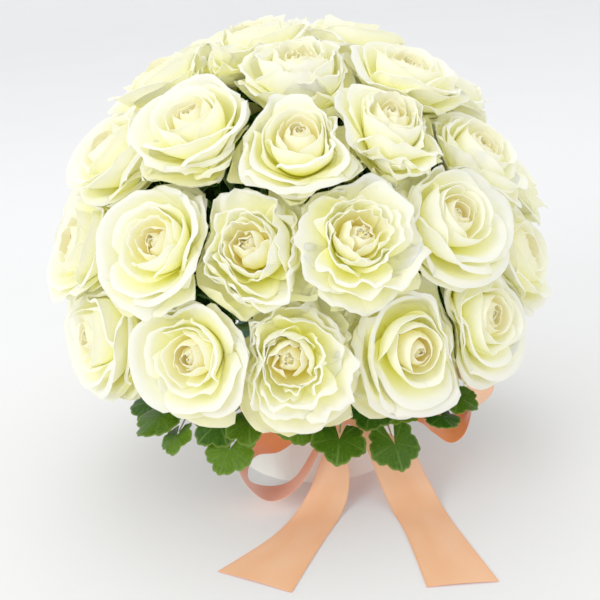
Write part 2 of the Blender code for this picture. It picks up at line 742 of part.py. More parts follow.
def build_tail(side, collection, material):
    """Build one tail of the bow: it falls from the knot and runs forwards on the table."""
    low = -KNOT_SIZE[2] / 2 - KNOT_GAP
    edges = []
    for start, curve in zip(TAIL_EDGES[side], TAIL_CURVES[side]):
        edges.append([knot_point(start, 0.0, low), *[(x, y, z + TABLE_GAP) for x, y, z in curve]])
    build_strip("ribbon_tail_" + side, *edges, TAIL_POINTS, collection, material)


def main():
    """Build the whole arrangement."""
    clear_scene()
    collection = make_collection("rose_box_arrangement")
    cutters = make_collection("stem_holes")
    petal = make_material("rose_petal", (0.90, 0.89, 0.68), 0.55)
    leaf = make_material("leaf_green", (0.05, 0.16, 0.04), 0.45)
    ribbon = make_material("ribbon_satin", (0.76, 0.42, 0.26), 0.35)
    paper = make_material("box_paper", (0.90, 0.90, 0.88), 0.60)
    film = make_material("liner_plastic", (0.80, 0.80, 0.78), 0.30)
    foam = make_material("foam_green", (0.06, 0.20, 0.10), 0.90)
    build_box(collection, paper)
    build_liner(collection, film)
    directions = spread_roses()
    axes = rose_axes(directions)
    sprig_lines = []
    for azimuth, _ in SPRIGS:
        path = sprig_stem(math.radians(azimuth))
        sprig_lines.append((path[0], unit(path[1] - path[0])))
    build_foam(axes, sprig_lines, collection, cutters, foam)
    for place in range(len(directions)):
        build_rose(f"rose_{place + 1:02d}", place, axes, directions, collection, petal)
    for place, (azimuth, leaves) in enumerate(SPRIGS):
        build_sprig(place, math.radians(azimuth), leaves, collection, leaf)
    build_band(collection, ribbon)
    build_knot(collection, ribbon)
    for side in ("left", "right"):
        build_loop(side, collection, ribbon)
        build_tail(side, collection, ribbon)


main()
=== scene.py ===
"""Looks of the rose box arrangement: petals, leaves, satin ribbon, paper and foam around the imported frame.

Metres, +Z up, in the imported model's own frame: the origin is under the box's middle and -Y is the front.
"""

import random
from math import acos, cos, hypot, pi, radians, sin, sqrt, tau

import bpy
import numpy as np
from mathutils import Matrix, Vector

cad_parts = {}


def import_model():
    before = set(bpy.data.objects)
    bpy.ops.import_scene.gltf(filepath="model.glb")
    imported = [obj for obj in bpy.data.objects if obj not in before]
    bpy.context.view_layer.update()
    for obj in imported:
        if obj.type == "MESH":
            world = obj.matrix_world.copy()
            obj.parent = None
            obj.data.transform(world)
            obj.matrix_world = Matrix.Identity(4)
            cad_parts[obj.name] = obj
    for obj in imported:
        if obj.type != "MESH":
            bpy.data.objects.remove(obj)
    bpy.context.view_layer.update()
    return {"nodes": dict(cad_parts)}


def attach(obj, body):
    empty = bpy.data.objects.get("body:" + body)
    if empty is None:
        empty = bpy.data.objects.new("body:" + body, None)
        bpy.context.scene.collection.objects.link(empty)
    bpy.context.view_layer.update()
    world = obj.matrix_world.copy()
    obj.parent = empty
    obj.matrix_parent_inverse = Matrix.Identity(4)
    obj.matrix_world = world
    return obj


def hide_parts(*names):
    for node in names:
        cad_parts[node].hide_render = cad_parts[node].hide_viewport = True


# Places of the stems and blooms, the same values as in the part's source
BALL_CENTRE = np.array([-0.006, 0.0, 0.168])
STEM_FOCUS = np.array([0.0, 0.0, 0.112])
EYE_RADIUS = 0.183
EYE_HEIGHT = 0.038
STEM_START = 0.037
STEM_RADIUS = 0.0026
FRONT_ROSES = [
    (-26, -3), (-4, -4), (24, -5), (46, -4), (-60, -6),
    (-35, 21), (-11, 21), (13, 22), (40, 21), (66, 6), (-70, 15),
    (-69, 39), (-34, 49), (2, 44), (33, 45), (60, 32), (87, 19),
    (-90, 58), (6, 66), (62, 57), (92, 44), (-70, 82), (122, 71),
]
BACK_RINGS = [(-4, 94, 272, 7), (20, 108, 262, 6), (44, 120, 248, 4), (64, 160, 228, 2)]
SPREAD_STEPS = 80
SPREAD_ANGLE = radians(27)
SPREAD_RATE = 0.12
LOWEST_RING = radians(-8)

# Each rose's own space: walls to its neighbours that lean and wave, and petals that ease away from them
CELL_GAP = 0.0008
CELL_MARGIN = 0.0020
EASE_ROUNDS = 6
NEIGHBOUR_ANGLE = radians(60)
SIDE_HINT = np.array([0.31, 0.12, 1.0])
UP = np.array([0.0, 0.0, 1.0])
WALL_LEAN = 0.92
LEAN_SHARES = (0.55, 1.0)
LEAN_START = 0.006
LEAN_RANGE = (-0.03, 0.026)
HIGHER_LIES_OVER = 0.75
WALL_WAVE = 0.0028
WALL_WAVES = 140.0
WAVE_SHARES = (0.5, 1.0)
FINE_WAVE = (0.3, 2.7, 2.1)
SKIRT_LIMIT = radians(-4)
SKIRT_BELOW = radians(34)
BLOOM_RADIUS = 0.0400
OPEN_SIDE_SCALE = 1.20
ROUNDING = ((0.6, 1.15), (5.0, 16.0))
LEAST_TOWARDS = 1e-4
LEAST_DEPTH = 0.002
TINY = 1e-12

# What is green under a bloom. A collar is its place down the stem, its leaflets, their spread and rise
STEM_SEED = 5200
STEM_SHARES = (1.0, 0.66, 0.33)
HIP_HEIGHTS = (-0.004, -0.001, 0.003, 0.007, 0.011)
STEM_RADII = (STEM_RADIUS, STEM_RADIUS, 0.0024, STEM_RADIUS, 0.0042, 0.0066, 0.0074, 0.0062)
STEM_SIDES = 10
CAP_SHARE = 0.05
SEPALS = 5
SEPAL_WIDTH = 0.0046
SEPAL_REACH = (0.0066, 0.0220)
SEPAL_FALL = (0.009, 0.010, 0.006)
SEPAL_CURLS = (0.4, 1.6)
SEPAL_SHIFT = 0.15
COLLARS = [
    (0.0, 6, 0.040, 0.022), (0.25, 3, 0.030, 0.030), (0.45, 3, 0.024, 0.038), (0.68, 4, 0.020, 0.042),
]
COLLAR_DROP = 0.012
COLLAR_CLEAR = 0.039
COLLAR_STEP = 0.0012
COLLAR_SHIFT = 0.2
LEAFLET_WIDTH = 0.0182
LEAFLET_START = 0.004
LEAFLET_SIZES = (1.0, 1.25)
LEAFLET_TEETH = 0.10
LEAFLET_THICKNESS = 0.0004
LEAFLET_ALONG = np.linspace(0, 1, 8)[:, None]
LEAFLET_ACROSS = np.linspace(-1, 1, 5)[None, :]

# Leafy sprigs: each is its stem's azimuth and its leaves, each an azimuth, a distance, a height and a size
SPRIG_SEED = 6300
LEAF_TONES = 8.0
LEAF_TEETH = 10.5
LEAF_LOBES = 5
LEAF_CUT = 0.80
LEAF_NOTCH = 0.40
NOTCH_WIDTH = 0.55
LEAF_DROOP = 0.22
LEAF_WAVES = ((LEAF_LOBES, 0.055, 3), (2, 0.05, 2))
LEAF_OPENING = radians(16)
LEAF_RINGS = 8
LEAF_STEPS = 81
LEAF_THICKNESS = 0.0005
LEAF_FACING = 38
STALK_RADII = (0.0009, 0.0008, 0.0006)
STALK_SIDES = 6
STALK_START = 0.0006
BACK_LEAF_SCALE = 0.90
FRONT_SPRIGS = 5
SPRIG_RADII = (0.0013, 0.0010)
SPRIG_STEPS = 14
SPRIG_SIDES = 8
SPRIG_RIM_Z = 0.1035
SPRIG_PATH = [(0.046, 0.0), (0.078, 0.0002), (0.098, 0.008), (0.113, 0.022)]
FORK_START = 0.3
SPRIGS = [
    (-58, [(-56, 0.149, 0.077, 0.022), (-49, 0.147, 0.065, 0.015), (-71, 0.142, 0.074, 0.020),
           (-87, 0.136, 0.078, 0.019)]),
    (-29, [(-36, 0.131, 0.078, 0.020), (-23, 0.134, 0.086, 0.020), (-30, 0.139, 0.063, 0.020)]),
    (8, [(5, 0.138, 0.073, 0.020), (18, 0.124, 0.088, 0.019), (-8, 0.126, 0.084, 0.018)]),
    (24, [(23, 0.136, 0.059, 0.020), (28, 0.124, 0.084, 0.018)]),
    (38, [(36, 0.152, 0.077, 0.014), (44, 0.150, 0.084, 0.015)]),
    (90, [(82, 0.134, 0.082, 0.016), (95, 0.140, 0.071, 0.019), (110, 0.134, 0.079, 0.020)]),
    (145, [(127, 0.136, 0.078, 0.021), (146, 0.140, 0.069, 0.021), (165, 0.135, 0.080, 0.020)]),
    (215, [(193, 0.138, 0.078, 0.021), (214, 0.139, 0.068, 0.020), (235, 0.137, 0.079, 0.021)]),
]

# The ribbon. The two edges of each loop and tail were placed from the photograph
BOX_RADIUS = 0.070
GAP = 0.0003
RIBBON_WIDTH = 0.037
RIBBON_SOLID = 0.0009
BAND_BOTTOM = 0.049
KNOT_TURN = 15
KNOT_SIZE = (0.020, 0.012, 0.023)
KNOT_HEIGHT = 0.068
KNOT_GAP = 0.0006
KNOT_FILL = (0.98, 0.94)
KNOT_RINGS = 34
KNOT_STEPS = 40
KNOT_CORNERS = 0.75
KNOT_REACH = 0.010
SATIN_THICKNESS = 0.0004
STRIP_ROWS = 72
STRIP_COLUMNS = 11
LOOP_BOW = 0.0012
TAIL_BOW = 0.0008
BAND_STEPS = 128
BAND_COLUMNS = 9
BAND_WAVE = 0.00015
TABLE_GAP = GAP + RIBBON_SOLID / 2
LOOP_EDGES = (-0.002, 0.004)
LOOP_ENDS = {"left": (0.007, -0.004), "right": (0.007, -0.006)}
TAIL_EDGES = {"left": (-0.009, -0.001), "right": (0.001, 0.009)}
LOOP_CURVES = {
    "left": ([
        (-0.0119, -0.082, 0.0541), (-0.033, -0.082, 0.0375), (-0.051, -0.083, 0.0361),
        (-0.059, -0.084, 0.0275), (-0.0594, -0.085, 0.0146), (-0.044, -0.085, 0.0087),
        (-0.0278, -0.084, 0.0113), (-0.0139, -0.083, 0.0265),
    ], [
        (-0.0151, -0.100, 0.0805), (-0.040, -0.106, 0.072), (-0.060, -0.112, 0.064),
        (-0.0659, -0.116, 0.052), (-0.0605, -0.118, 0.0308), (-0.0451, -0.117, 0.0141),
        (-0.0264, -0.114, 0.0176), (-0.0103, -0.108, 0.0346),
    ]),
    "right": ([
        (0.062, -0.052, 0.080), (0.098, -0.042, 0.086), (0.138, -0.048, 0.079),
        (0.1404, -0.054, 0.0625), (0.1273, -0.058, 0.0513), (0.1144, -0.058, 0.0488),
        (0.1046, -0.056, 0.0452), (0.0915, -0.060, 0.0491), (0.0718, -0.066, 0.0582),
    ], [
        (0.060, -0.078, 0.077), (0.090, -0.078, 0.082), (0.110, -0.074, 0.084),
        (0.116, -0.080, 0.0735), (0.118, -0.082, 0.0585), (0.1114, -0.084, 0.040),
        (0.1003, -0.084, 0.034), (0.0876, -0.084, 0.044), (0.0733, -0.082, 0.055),
    ]),
}
TAIL_CURVES = {
    "left": ([
        (0.000, -0.090, 0.036), (-0.012, -0.104, 0.014), (-0.027, -0.122, 0.001),
        (-0.046, -0.150, 0.0), (-0.082, -0.186, 0.0),
    ], [
        (0.019, -0.089, 0.036), (0.018, -0.105, 0.014), (0.010, -0.124, 0.001),
        (-0.008, -0.164, 0.0), (-0.030, -0.218, 0.0),
    ]),
    "right": ([
        (0.034, -0.088, 0.036), (0.042, -0.104, 0.014), (0.049, -0.124, 0.001),
        (0.056, -0.160, 0.0), (0.062, -0.224, 0.0),
    ], [
        (0.066, -0.086, 0.036), (0.079, -0.101, 0.014), (0.087, -0.121, 0.001),
        (0.094, -0.155, 0.0), (0.111, -0.224, 0.0),
    ]),
}

# A petal's shape along its length, from the heart to the outermost petal: five points that pull its curve
OPENINGS = [-0.15, 0.0, 0.3, 0.6, 0.82, 1.0, 1.2, 1.4]
PETAL_RADII = [
    (0.0015, 0.0045, 0.0070, 0.0035, 0.0004),
    (0.0025, 0.0060, 0.0090, 0.0060, 0.0014),
    (0.0045, 0.0120, 0.0165, 0.0160, 0.0105),
    (0.0055, 0.0180, 0.0250, 0.0255, 0.0235),
    (0.0065, 0.0215, 0.0310, 0.0345, 0.0375),
    (0.0070, 0.0240, 0.0360, 0.0420, 0.0450),
    (0.0070, 0.0270, 0.0420, 0.0500, 0.0540),
    (0.0070, 0.0270, 0.0410, 0.0480, 0.0510),
]
PETAL_HEIGHTS = [
    (0.010, 0.018, 0.031, 0.041, 0.0425),
    (0.010, 0.018, 0.030, 0.041, 0.0430),
    (0.010, 0.018, 0.031, 0.043, 0.0475),
    (0.009, 0.015, 0.028, 0.042, 0.0480),
    (0.007, 0.011, 0.025, 0.040, 0.0450),
    (0.005, 0.009, 0.020, 0.035, 0.0350),
    (0.003, 0.006, 0.014, 0.028, 0.0270),
    (0.001, 0.003, 0.008, 0.019, 0.0170),
]
PETAL_LENGTHS = (0.033, 0.036, 0.041, 0.047, 0.052, 0.053, 0.056, 0.056)
PETAL_HALF_WIDTHS = (0.008, 0.010, 0.018, 0.029, 0.036, 0.040, 0.044, 0.052)
LIP_WIDTHS = (0.0008, 0.0012, 0.0032, 0.0056, 0.0066, 0.0070, 0.0064, 0.0040)
LIP_TURNS = (0.2, 0.3, 0.7, 1.2, 1.4, 1.5, 1.3, 0.8)
GOLDEN_ANGLE = radians(137.5)
CENTRE_SHIFT = 0.2
PETAL_SEED = 4100
PETAL_TONES = 4.0
PETAL_THICKNESS = 0.00036
SHARP_ANGLE = radians(62)

# A petal's outline and waves. A draw lies between two values, and a pair of pairs is read from an opening
WIDEST_TURN = 2.4
EDGE_CROWDING = 1.32
ROW_CROWDING = 1.5
WIDTH_DRAW = (0.90, 1.12)
BASE_WIDTH = 0.15
SQUARENESS = ((1.1, 1.35), (0.53, 0.70))
SHOULDERS = ((1.1, 1.35), (0.16, 0.26))
TIP_HEIGHT = 0.97
TIP_DRAW = (-0.04, 0.12)
TIP_NOTCH = 0.014
NOTCH_DRAWS = ((3, 7), (0, 6))
TIP_POINT = 0.10
POINT_DRAW = (0.22, 0.42)
LIP_DRAW = (0.5, 1.35)
TIP_LIP_DRAW = (0.35, 1.15)
SIDE_LIP = 1.15
RUFFLES = ((1.0, 0.6, 1.0), (0.5, 1.4, 2.2))
RUFFLE_HEIGHTS = (0.0005, 0.0009)
RUFFLE_DRAW = (0.5, 1.4)
CRUMPLE = 0.0007
CRUMPLED_BELOW = 0.40
SLOW_BEND = 0.0010
SPIRAL = 0.0012
TILT = 0.0022
RISE = 0.0014
LEAST_TURNED = 0.004
LEAST_RADIUS = 0.0010
CURVE_STEP = 0.01

# The bud, how the petals spread round it, their grids of points and the roses' styles
BUD_HEIGHTS = np.array([0.0140, 0.0220, 0.0290, 0.0340, 0.0375, 0.0400, 0.0415])
BUD_RADII = (0.0026, 0.0038, 0.0042, 0.0037, 0.0029, 0.0019, 0.0008)
BUD_SIDES = 9
BUD_OPENING = 0.50
BUD_LEAN = 0.0035
BUD_HEIGHT = 0.045
BUD_TOP = 0.05
BUD_BELOW = 0.75
SPREAD_FROM = 0.010
SPREAD_OVER = 0.022
SMALL_PETAL = 0.3
WIDE_PETAL = 0.9
SKIRT_PETAL = 1.25
FRONT_GRIDS = ((8, 11), (12, 20), (7, 12))
BACK_GRIDS = ((8, 10), (9, 13), (7, 10))
OPENING_GROUPS = [(-0.15, 0.26), (0.36, 0.62), (0.72, 0.98), (1.08, 1.2), (1.33, 1.39)]
OPENING_SHIFT = 0.015
PETAL_REACH = (0.80, 1.03)
TIP_SHARES = ((0.8, 1.0, 1.2, 1.4), (1.0, 0.93, 0.82, 0.95))
CROWD_LIFT = ((0.5, 1.0), (0.6, 0.3))
PLAIN = {"petals": (8, 7, 7, 4, 5), "open": 1.0, "ruffle": 0.9, "roll": 1.0, "width": 1.0}
SMOOTH = {"petals": (7, 5, 6, 4, 5), "open": 0.98, "ruffle": 0.35, "roll": 1.3, "width": 1.18}
RUFFLED = {"petals": (9, 9, 7, 4, 5), "open": 1.0, "ruffle": 1.9, "roll": 0.65, "width": 0.88}
TIGHT = {"petals": (8, 6, 6, 4, 5), "open": 0.90, "ruffle": 0.5, "roll": 1.1, "width": 1.08}
ROSE_STYLES = [
    PLAIN, RUFFLED, SMOOTH, TIGHT, SMOOTH, PLAIN, RUFFLED, RUFFLED, TIGHT, SMOOTH, PLAIN,
    SMOOTH, TIGHT, PLAIN, RUFFLED, PLAIN, SMOOTH, PLAIN, RUFFLED, PLAIN, TIGHT, RUFFLED, PLAIN,
]

# Colours: stops from a petal's base to its edge, and the two colours of each noise
BLACK = (0.0, 0.0, 0.0)
WHITE = (1.0, 1.0, 1.0)
# The stops deepen towards a petal's base: partly the petals' own yellow-green and warm bases, partly painted
# shade in the creases between petals and deep in the bud's heart
PETAL_OUTER = [
    (0.0, (0.86, 0.82, 0.015)), (0.26, (0.94, 0.925, 0.085)),
    (0.50, (0.975, 0.965, 0.42)), (0.84, (0.985, 0.98, 0.78)),
]
PETAL_HEART = [
    (0.0, (0.94, 0.62, 0.05)), (0.45, (0.965, 0.82, 0.16)),
    (0.78, (0.98, 0.925, 0.40)), (1.0, (0.985, 0.955, 0.64)),
]
# The outermost petals' greener tint is partly their own colour and partly painted shade, where they lie low
# between the roses
PETAL_SKIRT = (0.95, 0.94, 0.38)
PETAL_SPOTS = (0.975, 0.975, 0.72)
PETAL_GLOW = (1.0, 0.95, 0.55)
LEAF_DARK = ((0.002, 0.016, 0.001), (0.012, 0.055, 0.002))
LEAF_LIGHT = ((0.026, 0.085, 0.002), (0.075, 0.165, 0.005))
LEAF_RIM = (0.16, 0.27, 0.03)
LEAF_VEIN = (0.07, 0.15, 0.015)
SATIN_FACE = ((0.92, 0.365, 0.150), (0.95, 0.445, 0.210))
# The reverse side's deeper orange is painted shade, for the insides of the loops and the undersides of the
# tails
SATIN_PAINTED_SHADE = ((0.80, 0.175, 0.035), (0.85, 0.215, 0.052))
SATIN_SELVAGE = (0.90, 0.34, 0.13)
SATIN_THREADS = 9000.0

# Plain surfaces: a noise's two colours, scale, detail and stretch, roughness, the grain's strength and size
EVEN = (1.0, 1.0, 1.0)
SURFACES = {
    "stem_green": ((0.07, 0.16, 0.03), (0.15, 0.28, 0.06), 90.0, 3.0, (1.0, 1.0, 0.3), 0.5, 0.3, 0.0005),
    "paper_white": ((0.93, 0.885, 0.79), (0.95, 0.915, 0.84), 900.0, 5.0, EVEN, 0.62, 0.12, 0.0002),
    "liner_film": ((0.76, 0.77, 0.76), (0.82, 0.82, 0.81), 240.0, 5.0, EVEN, 0.30, 0.15, 0.0003),
    "foam_soaked": ((0.020, 0.085, 0.035), (0.055, 0.16, 0.075), 1600.0, 5.0, EVEN, 0.92, 0.8, 0.0006),
    "floor_pale": ((0.80, 0.80, 0.81), (0.82, 0.82, 0.83), 3.0, 3.0, EVEN, 0.8, 0.0, 0.0),
}
FINISHES = {"box": "paper_white", "liner": "liner_film", "foam": "foam_soaked"}

# Camera, worked out from the photograph, light and floor. A lamp is a place, a size, a power and a colour
CAMERA_PLACE = (-0.0086, -0.8559, 0.4461)
CAMERA_PITCH = radians(20.126)
CAMERA_ROLL = radians(4.5)
CAMERA_LENS = 66.06
CAMERA_SENSOR = 36.0
WORLD_COLOUR = (0.98, 0.99, 1.0)
WORLD_STRENGTH = 0.92
LAMPS = {
    "key": ((-2.3, -2.3, 1.9), 2.0, 42.0, (1.0, 0.99, 0.965)),
    "top": ((-0.2, 0.8, 1.8), 1.2, 5.0, WHITE),
    "fill": ((1.3, -1.4, 1.0), 1.6, 1.5, (0.96, 0.98, 1.0)),
}
LAMP_TARGET = (0.0, 0.0, 0.15)
LIGHT_BOUNCES = 16
FILM_GAMMA = 1.60
FLOOR_FLAT = 3.6
FLOOR_SWEEP = 1.2
FLOOR_START = 0.0005
FLOOR_BENDS = 12
FLOOR_STEPS = 96

# Materials of what has leaves, the stem's place among them, and the surface place of what needs none
LEAFY = ("leaf_dark_green", "stem_green")
STEM_SLOT = 1
NO_PLACE = (0.0, 0.0, 0.0)


def unit(vectors):
    """Return a vector, or each one of a grid, at length one."""
    return vectors / np.maximum(np.linalg.norm(vectors, axis=-1, keepdims=True), TINY)


def direction(azimuth, elevation=0.0):
    """Return the unit vector at an azimuth right of the front and an elevation, in degrees."""
    azimuth, elevation = radians(azimuth), radians(elevation)
    level = cos(elevation)
    return np.array([sin(azimuth) * level, -cos(azimuth) * level, sin(elevation)])


def spread_roses():
    """Return the roses' directions from the ball's centre: the front as set, the back evenly spread."""
    fixed = [direction(*angles) for angles in FRONT_ROSES]
    free = []
    for elevation, first, last, number in BACK_RINGS:
        for place in range(number):
            free.append(direction(first + (last - first) * (place / (number - 1)), elevation))
    for _ in range(SPREAD_STEPS):
        moved = []
        for place, current in enumerate(free):
            others = fixed + free[:place] + free[place + 1:]
            push = np.zeros(3)
            for other in others:
                angle = acos(max(-1.0, min(1.0, float(current @ other))))
                if angle < SPREAD_ANGLE:
                    push += unit(current - other) * (SPREAD_ANGLE - angle)
            shifted = unit(current + push * SPREAD_RATE)
            height = max(sin(LOWEST_RING), shifted[2])
            level = sqrt(1 - height * height) / hypot(shifted[0], shifted[1])
            moved.append(np.array([shifted[0] * level, shifted[1] * level, height]))
        free = moved
    return fixed + free


def rose_axes(directions):
    """Return each rose's axis from the stems' meeting point, and the distance of its eye along it."""
    reaches = [BALL_CENTRE + outward * EYE_RADIUS - STEM_FOCUS for outward in directions]
    return [(unit(reach), float(np.linalg.norm(reach))) for reach in reaches]


def cell_walls(place, axes, directions):
    """Return the walls of a rose's space: for each a normal, a lean, where the lean starts, and a wave.

    A wall between two roses leans over one of them, so that the one's outer petals lie over the other's.
    """
    own, own_eye = axes[place]
    walls = []
    for other, (axis, eye) in enumerate(axes):
        if other == place or own @ axis <= cos(NEIGHBOUR_ANGLE):
            continue
        first, second = min(place, other), max(place, other)
        side = 1 if place == first else -1
        pair = random.Random(first * 100 + second)
        first_is_higher = axes[first][0][2] > axes[second][0][2]
        first_lies_over = (pair.random() < HIGHER_LIES_OVER) == first_is_higher
        lean = (side if first_lies_over else -side) * pair.uniform(*LEAN_SHARES) * WALL_LEAN
        normal = unit(own - axis)
        tangent = np.cross(unit(own + axis), normal) * side
        wave = (tangent, side * WALL_WAVE * pair.uniform(*WAVE_SHARES), pair.uniform(0, tau))
        walls.append((normal, lean, (own_eye + eye) / 2 - LEAN_START, wave))
    if directions[place][2] < sin(SKIRT_BELOW):
        level = unit(np.array([own[0], own[1], 0.0]))
        normal = np.array([0, 0, cos(SKIRT_LIMIT)]) - level * sin(SKIRT_LIMIT)
        walls.append((normal, 0.0, 0.0, (level, 0.0, 0.0)))
    return walls


def wall_wave(place, wave):
    """Return how far a wall swings aside at each place, as the wall of the rose beyond it does."""
    tangent, height, phase = wave
    fine_height, fine_waves, fine_phase = FINE_WAVE
    along = WALL_WAVES * (place @ tangent)
    return height * (np.sin(along + phase) + fine_height * np.sin(fine_waves * along + fine_phase * phase))


def keep_in_cell(points, walls, lift):
    """Ease points away from the walls of a rose's space and lift them, as petals that meet stand up."""
    shaped = points.reshape(-1, 3).copy()
    room = CELL_MARGIN - CELL_GAP
    for _ in range(EASE_ROUNDS):
        for normal, lean, middle, wave in walls:
            place = shaped - STEM_FOCUS
            depth = place @ normal + wall_wave(place, wave)
            if lean:
                depth = depth + lean * np.clip(np.linalg.norm(place, axis=1) - middle, *LEAN_RANGE)
            eased = CELL_GAP + room * np.exp((np.minimum(depth, CELL_MARGIN) - CELL_MARGIN) / room)
            shift = np.maximum(np.where(depth < CELL_MARGIN, eased - depth, 0.0), 0.0)
            shaped += shift[:, None] * (normal + lift)
    return shaped.reshape(points.shape)


def rose_space(place, axes, directions):
    """Return a rose's own space: its bloom's turn and place, with Z along the axis, and its walls."""
    axis, eye_distance = axes[place]
    side = unit(np.cross(axis, SIDE_HINT))
    rotation = np.column_stack([side, np.cross(axis, side), axis])
    return rotation, STEM_FOCUS + axis * (eye_distance - EYE_HEIGHT), cell_walls(place, axes, directions)


def cell_room(grid, angle, opening, space):
    """Return how far a bloom opens at each point of a petal, as a share of its full radius.

    The outermost petals fill the corners between three roses, and the others stay rounder.
    """
    rotation, base, walls = space
    rounding = np.interp(opening, *ROUNDING)
    outward = np.stack([np.cos(angle), np.sin(angle), np.zeros_like(angle)], axis=-1) @ rotation.T
    on_axis = base + grid[..., 2:] * rotation[:, 2] - STEM_FOCUS
    place = grid @ rotation.T + base - STEM_FOCUS
    distance = np.linalg.norm(place, axis=-1)
    crowding = np.full(angle.shape, OPEN_SIDE_SCALE ** -rounding)
    for normal, lean, middle, wave in walls:
        towards = np.maximum(-outward @ normal, LEAST_TOWARDS)
        depth = on_axis @ normal - CELL_GAP + wall_wave(place, wave)
        if lean:
            depth = depth + lean * np.clip(distance - middle, *LEAN_RANGE)
        crowding += (towards * BLOOM_RADIUS / np.maximum(depth, LEAST_DEPTH)) ** rounding
    return crowding ** (-1 / rounding)


def grid_normals(grid):
    """Return the normals of a grid of points."""
    return unit(np.cross(np.gradient(grid, axis=0), np.gradient(grid, axis=1)))


def grid_solid(grid, thickness):
    """Return points and four-sided faces of a thin closed sheet round a grid of points."""
    rows, columns = grid.shape[:2]
    offset = grid_normals(grid) * np.broadcast_to(thickness, (rows, columns))[..., None] / 2
    sides = [(grid - offset).reshape(-1, 3), (grid + offset).reshape(-1, 3)]
    index = np.arange(rows * columns).reshape(rows, columns)
    corners = [index[:-1, :-1], index[:-1, 1:], index[1:, 1:], index[1:, :-1]]
    front = np.stack(corners, axis=-1).reshape(-1, 4)
    back = front[:, ::-1] + rows * columns
    border = np.concatenate([index[0, :], index[1:, -1], index[-1, -2::-1], index[-2:0:-1, 0]])
    following = np.roll(border, -1)
    rim = np.stack([border, border + rows * columns, following + rows * columns, following], axis=-1)
    return np.concatenate(sides), np.concatenate([front, back, rim])


def ring_faces(rings, sides):
    """Return the four-sided faces between closed rings of points."""
    index = np.arange(rings * sides).reshape(rings, sides)
    turned = np.roll(index, -1, axis=1)
    return np.stack([index[:-1], turned[:-1], turned[1:], index[1:]], axis=-1).reshape(-1, 4)


def surface_places(*measures):
    """Return three measures over a surface's points as one list of vectors."""
    return np.stack(np.broadcast_arrays(*measures), axis=-1).reshape(-1, 3)


def both_sides(*measures):
    """Return the surface places of a thin sheet, the same on its two sides."""
    return np.concatenate([surface_places(*measures)] * 2)


def tube_solid(path, radii, sides):
    """Return points and four-sided faces of a round tube along a path, closed by its shrinking ends."""
    path = np.array(path)
    along = unit(np.gradient(path, axis=0))
    side = unit(np.cross(along, SIDE_HINT))
    other = np.cross(along, side)
    angles = np.arange(sides) * tau / sides
    ring = np.cos(angles)[None, :, None] * side[:, None] + np.sin(angles)[None, :, None] * other[:, None]
    body = path[:, None] + ring * np.asarray(radii)[:, None, None]
    ends = [path[end] + ring[end] * radii[end] * CAP_SHARE for end in (0, -1)]
    body = np.concatenate([ends[:1], body, ends[1:]])
    return body.reshape(-1, 3), ring_faces(len(body), sides)


def add_object(name, data):
    """Return a new object in the scene."""
    made = bpy.data.objects.new(name, data)
    bpy.context.scene.collection.objects.link(made)
    return made


class Build:
    """Gathers the points, faces, materials and surface places of one piece."""

    def __init__(self):
        self.points, self.faces, self.places, self.slots, self.count = [], [], [], [], 0

    def add(self, points, faces, places, slot=0):
        """Add one closed form, with a vector for each point that says where on its petal or leaf it is."""
        self.points.append(points)
        self.faces.append(faces + self.count)
        self.places.append(np.broadcast_to(places, (len(points), 3)))
        self.slots.append(np.full(len(faces), slot, dtype=np.int32))
        self.count += len(points)

    def make(self, name, materials):
        """Return the finished smooth-shaded object."""
        points = np.concatenate(self.points).astype(np.float32)
        faces = np.concatenate(self.faces).astype(np.int32)
        mesh = bpy.data.meshes.new(name)
        mesh.vertices.add(len(points))
        mesh.vertices.foreach_set("co", points.ravel())
        mesh.loops.add(faces.size)
        mesh.loops.foreach_set("vertex_index", faces.ravel())
        mesh.polygons.add(len(faces))
        mesh.polygons.foreach_set("loop_start", np.arange(0, faces.size, 4, dtype=np.int32))
        mesh.polygons.foreach_set("material_index", np.concatenate(self.slots))
        mesh.update(calc_edges=True)
        place = mesh.attributes.new("place", "FLOAT_VECTOR", "POINT")
        place.data.foreach_set("vector", np.concatenate(self.places).astype(np.float32).ravel())
        mesh.shade_smooth()
        mesh.set_sharp_from_angle(angle=SHARP_ANGLE)
        for material in materials:
            mesh.materials.append(bpy.data.materials[material])
        return add_object(name, mesh)


def pulled(opening, table, share):
    """Return a measure at shares of a petal's length, on the smooth curve that its five points pull."""
    rest = 1 - share
    weights = [
        rest ** 4, 4 * rest ** 3 * share, 6 * rest ** 2 * share ** 2, 4 * rest * share ** 3, share ** 4,
    ]
    pulls = [np.interp(opening, OPENINGS, pull) for pull in zip(*table)]
    return sum(weight * pull for weight, pull in zip(weights, pulls))


def rolled(distance, band, turn):
    """Return how much shorter and how far back an edge lies where its last stretch rolls over."""
    into = np.maximum(band - distance, 0.0)
    bend = band / turn
    return into - bend * np.sin(into / bend), bend * (1 - np.cos(into / bend))


def petal_outline(opening, across, along, draw, style):
    """Return a petal's half width at each share of its length, and the share where its tip ends."""
    side = np.abs(across)
    half_width = np.interp(opening, OPENINGS, PETAL_HALF_WIDTHS) * draw.uniform(*WIDTH_DRAW) * style["width"]
    squareness = np.interp(opening, *SQUARENESS)
    width = half_width * np.sin(pi * (BASE_WIDTH + squareness * along)) ** 0.8
    waves, phase = [draw.uniform(*limits) for limits in NOTCH_DRAWS]
    notch = TIP_NOTCH * np.sin(across * waves + phase) * (0.5 + 0.6 * opening)
    point = TIP_POINT * opening * np.exp(-(side / draw.uniform(*POINT_DRAW)) ** 2) * draw.random() ** 1.5
    top = TIP_HEIGHT - np.interp(opening, *SHOULDERS) * side ** 3.5 + point + notch
    return width, top - draw.uniform(*TIP_DRAW) * opening


